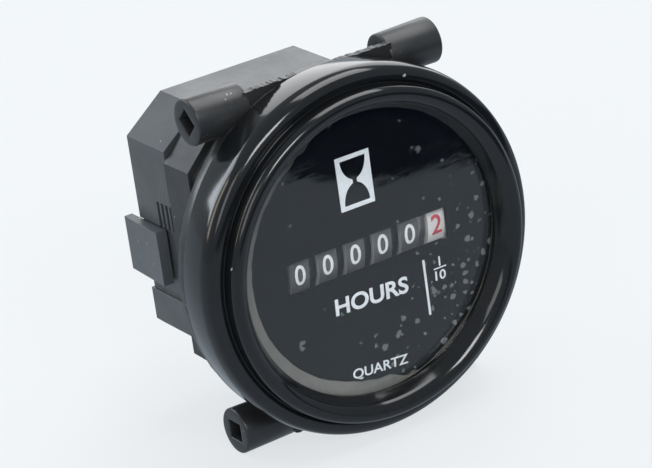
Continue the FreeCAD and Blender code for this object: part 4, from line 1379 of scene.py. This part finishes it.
@dataclass
class MountingRing:
    """The rubber ring, its webs and the four tubes that take the clamp."""

    inner: float = 26.3
    outer: float = 28.3
    front: float = -2.5
    lug_start: float = 12.6
    lug_end: float = 21.9
    lug_height: float = 25.2
    lug_back: float = 1.1
    root_radius: float = 3.5
    mouth_radius: float = 3.66
    slot_tall: float = 3.0
    slot_deep: float = 3.2
    upper_turn: float = 44.0
    rim: float = 0.32
    slot_rim: float = 0.14
    around: int = 48
    web_from: float = 3.5
    web_top: float = 27.95
    web_low: float = 23.8
    web_front: float = -1.9
    web_back: float = -0.6
    web_overlap: float = 0.5
    web_flash: float = 0.2
    web_row: float = 3.1
    web_layers: tuple[tuple[float, float], ...] = ((1.3, 1.0), (4.1, 0.5))
    web_cells: tuple[int, int] = (120, 5)
    ring_flash: float = 0.14
    ring_waves: float = 1.3
    flash_from: float = 0.6
    edge_angle: float = 60.0
    edge_level: float = 0.1
    steps: int = 160
    sharp: float = 40.0

    def tube(self, shape: bmesh.types.BMesh, across: int, up: int) -> None:
        """Adds one tapered tube with a rectangular hole right through it.

        Args:
            shape: the ring so far.
            across: -1 for the left side, 1 for the right.
            up: -1 for the lower side, 1 for the upper.
        """
        part = bmesh.new()
        # Four points on this circle are the corners of a unit square.
        bmesh.ops.create_circle(part, segments=4, radius=math.sqrt(HALF))
        turn = Matrix.Rotation(math.radians(45), 4, "Z")
        bmesh.ops.transform(part, matrix=turn, verts=part.verts[:])
        stretch = (self.slot_deep, self.slot_tall, 1)
        bmesh.ops.scale(part, vec=stretch, verts=part.verts[:])
        bmesh.ops.subdivide_edges(part, edges=part.edges[:], cuts=self.around // 4 - 1)
        bmesh.ops.create_circle(part, segments=self.around, radius=self.root_radius)
        faces = bmesh.ops.bridge_loops(part, edges=part.edges[:])["faces"]
        far = raise_copy(part, faces)
        bmesh.ops.translate(part, vec=(0, 0, self.lug_end - self.lug_start), verts=far)
        between = (self.slot_tall + self.root_radius * 2) / 3
        rim_verts = [vert for vert in far if math.hypot(vert.co.x, vert.co.y) > between]
        grow = self.mouth_radius / self.root_radius
        bmesh.ops.scale(part, vec=(grow, grow, 1), verts=rim_verts)
        bmesh.ops.recalc_face_normals(part, faces=part.faces[:])
        for outside, offset in ((True, self.rim), (False, self.slot_rim)):
            edges = [
                edge
                for edge in part.edges
                if edge.is_manifold
                and edge.calc_face_angle() > math.radians(self.edge_angle)
                and abs(edge.verts[0].co.z - edge.verts[1].co.z) < self.edge_level
                and (math.hypot(edge.verts[0].co.x, edge.verts[0].co.y) > between) is outside
            ]
            bmesh.ops.bevel(
                part, geom=edges, offset=offset, offset_type="OFFSET", segments=3, profile=0.5,
                affect="EDGES", material=-1,
            )
        turned = math.radians(self.upper_turn if up > 0 else 0.0)
        # The tube's own X lies along the frame's Y, its Y along Z, and its length along X.
        basis = Matrix(((0, 0, across, 0), (1, 0, 0, 0), (0, 1, 0, 0), (0, 0, 0, 1)))
        swing = Matrix.Rotation(turned, 4, "Z")
        move = Matrix.Translation((across * self.lug_start, self.lug_back, up * self.lug_height))
        bmesh.ops.transform(part, matrix=move @ basis @ swing, verts=part.verts[:])
        join(shape, part)

    def web(self, shape: bmesh.types.BMesh, across: int, up: int) -> None:
        """Adds the flat web between the ring and one tube, with a ragged flash edge.

        Args:
            shape: the ring so far.
            across: -1 for the left side, 1 for the right.
            up: -1 for the lower side, 1 for the upper.
        """
        columns, rows = self.web_cells
        grid = bmesh.ops.create_grid(shape, x_segments=columns, y_segments=rows, size=HALF)
        far = self.lug_start + self.web_overlap
        for vert in grid["verts"]:
            along = vert.co.x + HALF
            rise = vert.co.y + HALF
            x = self.web_from + along * (far - self.web_from)
            z = self.web_low + rise * (self.web_top - self.web_low)
            ragged = 0.0
            for layer, (grain, share) in enumerate(self.web_layers):
                spot = Vector((x * grain * across, up * self.web_row, HALF + layer))
                ragged += share * noise.noise(spot)
            z += self.web_flash * ragged * rise**4
            vert.co = Vector((across * x, self.web_front, up * z))
        faces = list({face for vert in grid["verts"] for face in vert.link_faces})
        moved = raise_copy(shape, faces)
        bmesh.ops.translate(shape, vec=(0, self.web_back - self.web_front, 0), verts=moved)

    def build(self) -> None:
        """Makes the ring as one moulding."""
        shape = lathe(
            [
                (self.inner, self.front, 0.1, 2),
                (self.outer, self.front, 0.2, 2),
                (self.outer - 0.25, 0.0, 0.25, 3),
                (self.inner, 0.0, 0.1, 2),
            ],
            self.steps,
        )
        for vert in shape.verts:
            radius = math.hypot(vert.co.x, vert.co.z)
            if radius > self.inner + self.flash_from:
                flash = self.ring_flash * noise.noise(vert.co * self.ring_waves)
                vert.co.x *= (radius + flash) / radius
                vert.co.z *= (radius + flash) / radius
        for across in (-1, 1):
            for up in (-1, 1):
                self.web(shape, across, up)
                self.tube(shape, across, up)
        bmesh.ops.recalc_face_normals(shape, faces=shape.faces[:])
        finish_piece(
            shape, "clamp_ring", "case", Look.RUBBER, ("mounting_ring",),
            self.sharp,
        )


# ------------------------------------------------------------------ studio


@dataclass
class Softbox:
    """One rectangular lamp that faces the meter."""

    name: str
    towards: tuple[float, float, float]
    distance: float
    size: tuple[float, float]
    power: float
    colour: Colour = (1.0, 1.0, 1.0)

    def build(self) -> None:
        """Hangs the lamp."""
        lamp = bpy.data.lights.new(self.name, "AREA")
        lamp.shape = "RECTANGLE"
        lamp.size, lamp.size_y = self.size
        lamp.energy = self.power
        lamp.color = self.colour
        holder = bpy.data.objects.new(self.name, lamp)
        direction = Vector(self.towards).normalized()
        holder.location = direction * self.distance
        holder.rotation_mode = "QUATERNION"
        holder.rotation_quaternion = direction.to_track_quat("Z", "Y")
        bpy.context.scene.collection.objects.link(holder)


@dataclass
class Studio:
    """The floor, the lamps, the sky and the camera."""

    floor_height: float = -0.02902
    floor_reach: float = 3.0
    floor_sides: int = 96
    sky: Colour = (0.86, 0.94, 1.0)
    sky_strength: float = 0.4
    paper: Colour = (0.825, 0.85, 0.865)
    paper_tones: tuple[Colour, Colour] = ((0.8, 0.83, 0.85), (0.83, 0.855, 0.875))
    paper_clouds: float = 9.0
    paper_specular: float = 0.1
    paper_roughness: float = 0.7
    # Painted reflection: the pale and dark colours that glossy pieces see in the floor.
    mirrored: Colour = (0.42, 0.48, 0.54)
    mirrored_dark: Colour = (0.02, 0.028, 0.05)
    paper_glow: float = 0.82
    # Where the painted reflection turns dark, and how its wavy line bends and fades.
    dark_edge: tuple[float, float] = (0.0595, -0.094)
    dark_waves: tuple[float, float, float] = (45.0, 420.0, 1.0)
    dark_ripple: float = 0.05
    dark_fade: tuple[float, float] = (0.002, -0.004)
    dark_slopes: tuple[float, float] = (1.33, 0.14)
    camera_place: tuple[float, float, float] = (-0.2366, -0.4025, 0.1875)
    camera_right: tuple[float, float, float] = (0.8282, -0.5446, -0.1325)
    camera_up: tuple[float, float, float] = (0.3086, 0.2457, 0.9189)
    camera_lens: float = 182.3
    camera_sensor: float = 36.0
    camera_clip: tuple[float, float] = (0.01, 20.0)
    lamps: tuple[Softbox, ...] = (
        Softbox("overhead", (0.36, 0.03, 0.93), 0.9, (0.85, 0.6), 6.6),
        Softbox("window", (-0.53, 0.73, 0.44), 0.8, (0.3, 0.42), 2.2, (0.86, 0.93, 1.0)),
        Softbox("warm_door", (-0.78, 0.48, 0.4), 0.8, (0.1, 0.4), 0.5, (1.0, 0.86, 0.7)),
        Softbox("fill", (-0.8, -0.5, 0.5), 1.1, (0.5, 0.5), 2.0),
        Softbox("front", (-0.15, -0.8, 0.55), 1.3, (0.5, 0.3), 6.0),
        Softbox("back_wall", (0.5, 0.8, 0.34), 1.2, (1.2, 0.7), 5.0),
    )

    def floor(self) -> None:
        """A pale floor, which shows glossy pieces a painted reflection."""
        shape = bmesh.new()
        bmesh.ops.create_circle(
            shape, cap_ends=True, segments=self.floor_sides, radius=self.floor_reach
        )
        bmesh.ops.translate(shape, vec=(0, 0, self.floor_height), verts=shape.verts[:])
        mesh = bpy.data.meshes.new("floor")
        shape.to_mesh(mesh)
        shape.free()
        mesh.materials.append(self.floor_paint())
        ground = bpy.data.objects.new("floor", mesh)
        bpy.context.scene.collection.objects.link(ground)

    def floor_paint(self) -> bpy.types.Material:
        """Evenly lit paper, seen by glossy pieces as a painted reflection: a pale sheet with a dark
        far edge.

        The paper seen directly is part glow, so that shadows on it stay faint. Glossy pieces see a
        painted reflection: a plain glow that turns dark in front of the meter, along a wavy line.

        Returns:
            The floor's material.
        """
        material, graph, shader, place = new_material("pale_paper_painted_reflection")
        tone = graph.noise(place, self.paper_clouds, 4.0)
        graph.feed(
            shader,
            {
                "Base Color": graph.blend(tone, *self.paper_tones),
                "Specular IOR Level": self.paper_specular,
                "Roughness": self.paper_roughness,
            },
        )
        glow = graph.add("Emission", {"Color": paint(self.paper), "Strength": 1.0})
        path = graph.add("LightPath")
        direct = graph.math("MULTIPLY", path.outputs["Is Camera Ray"], self.paper_glow)
        seen = graph.add("MixShader", {0: direct, 1: shader.outputs[0], 2: glow.outputs[0]})
        stretched = graph.add("Mapping", {"Vector": place, "Scale": self.dark_waves})
        wave = graph.noise(stretched.outputs[0], 1.0, 6.0)
        parts = graph.add("SeparateXYZ", {0: place})
        aside = graph.math("SUBTRACT", parts.outputs["X"], self.dark_edge[0])
        steep, flat = (graph.math("MULTIPLY", aside, slope) for slope in self.dark_slopes)
        line = graph.math("SUBTRACT", parts.outputs["Y"], graph.math("MINIMUM", steep, flat))
        swing = graph.math("SUBTRACT", wave, 0.5)
        line = graph.math("MULTIPLY_ADD", swing, self.dark_ripple, line)
        # The painted reflection turns dark past the wavy line, in front of the meter.
        ahead = graph.span(line, *(self.dark_edge[1] + step for step in self.dark_fade))
        painted_reflection_colour = graph.blend(ahead, self.mirrored, self.mirrored_dark)
        mirror = graph.add("Emission", {"Color": painted_reflection_colour, "Strength": 1.0})
        glossy = path.outputs["Is Glossy Ray"]
        mix = graph.add("MixShader", {0: glossy, 1: seen.outputs[0], 2: mirror.outputs[0]})
        graph.feed(material.node_tree.nodes["Material Output"], {0: mix.outputs[0]})
        return material

    def world(self) -> None:
        """An even pale sky."""
        world = bpy.data.worlds.new("studio_air")
        world.use_nodes = True
        back = world.node_tree.nodes["Background"]
        back.inputs["Color"].default_value = paint(self.sky)
        back.inputs["Strength"].default_value = self.sky_strength
        bpy.context.scene.world = world

    def camera(self) -> None:
        """The camera, level with the eye of somebody who looks down on the meter."""
        lens = bpy.data.cameras.new("camera")
        lens.lens = self.camera_lens
        lens.sensor_width = self.camera_sensor
        lens.clip_start, lens.clip_end = self.camera_clip
        holder = bpy.data.objects.new("camera", lens)
        right = Vector(self.camera_right).normalized()
        up = Vector(self.camera_up)
        up = (up - right * up.dot(right)).normalized()
        turn = Matrix((right, up, right.cross(up))).transposed()
        holder.matrix_world = Matrix.Translation(self.camera_place) @ turn.to_4x4()
        bpy.context.scene.collection.objects.link(holder)
        bpy.context.scene.camera = holder

    def build(self) -> None:
        """Sets up the studio."""
        self.floor()
        self.world()
        for lamp in self.lamps:
            lamp.build()
        self.camera()
        bpy.context.scene.view_settings.view_transform = "Standard"


def main() -> None:
    """Builds the meter from the front to the back, then the studio round it."""
    logging.basicConfig(level=logging.INFO, format="%(message)s")
    FrontGroup().build()
    DialPrinting().build()
    Counter().build()
    Movement().build()
    Case().build()
    MountingRing().build()
    Studio().build()


if __name__ == "__main__":
    main()
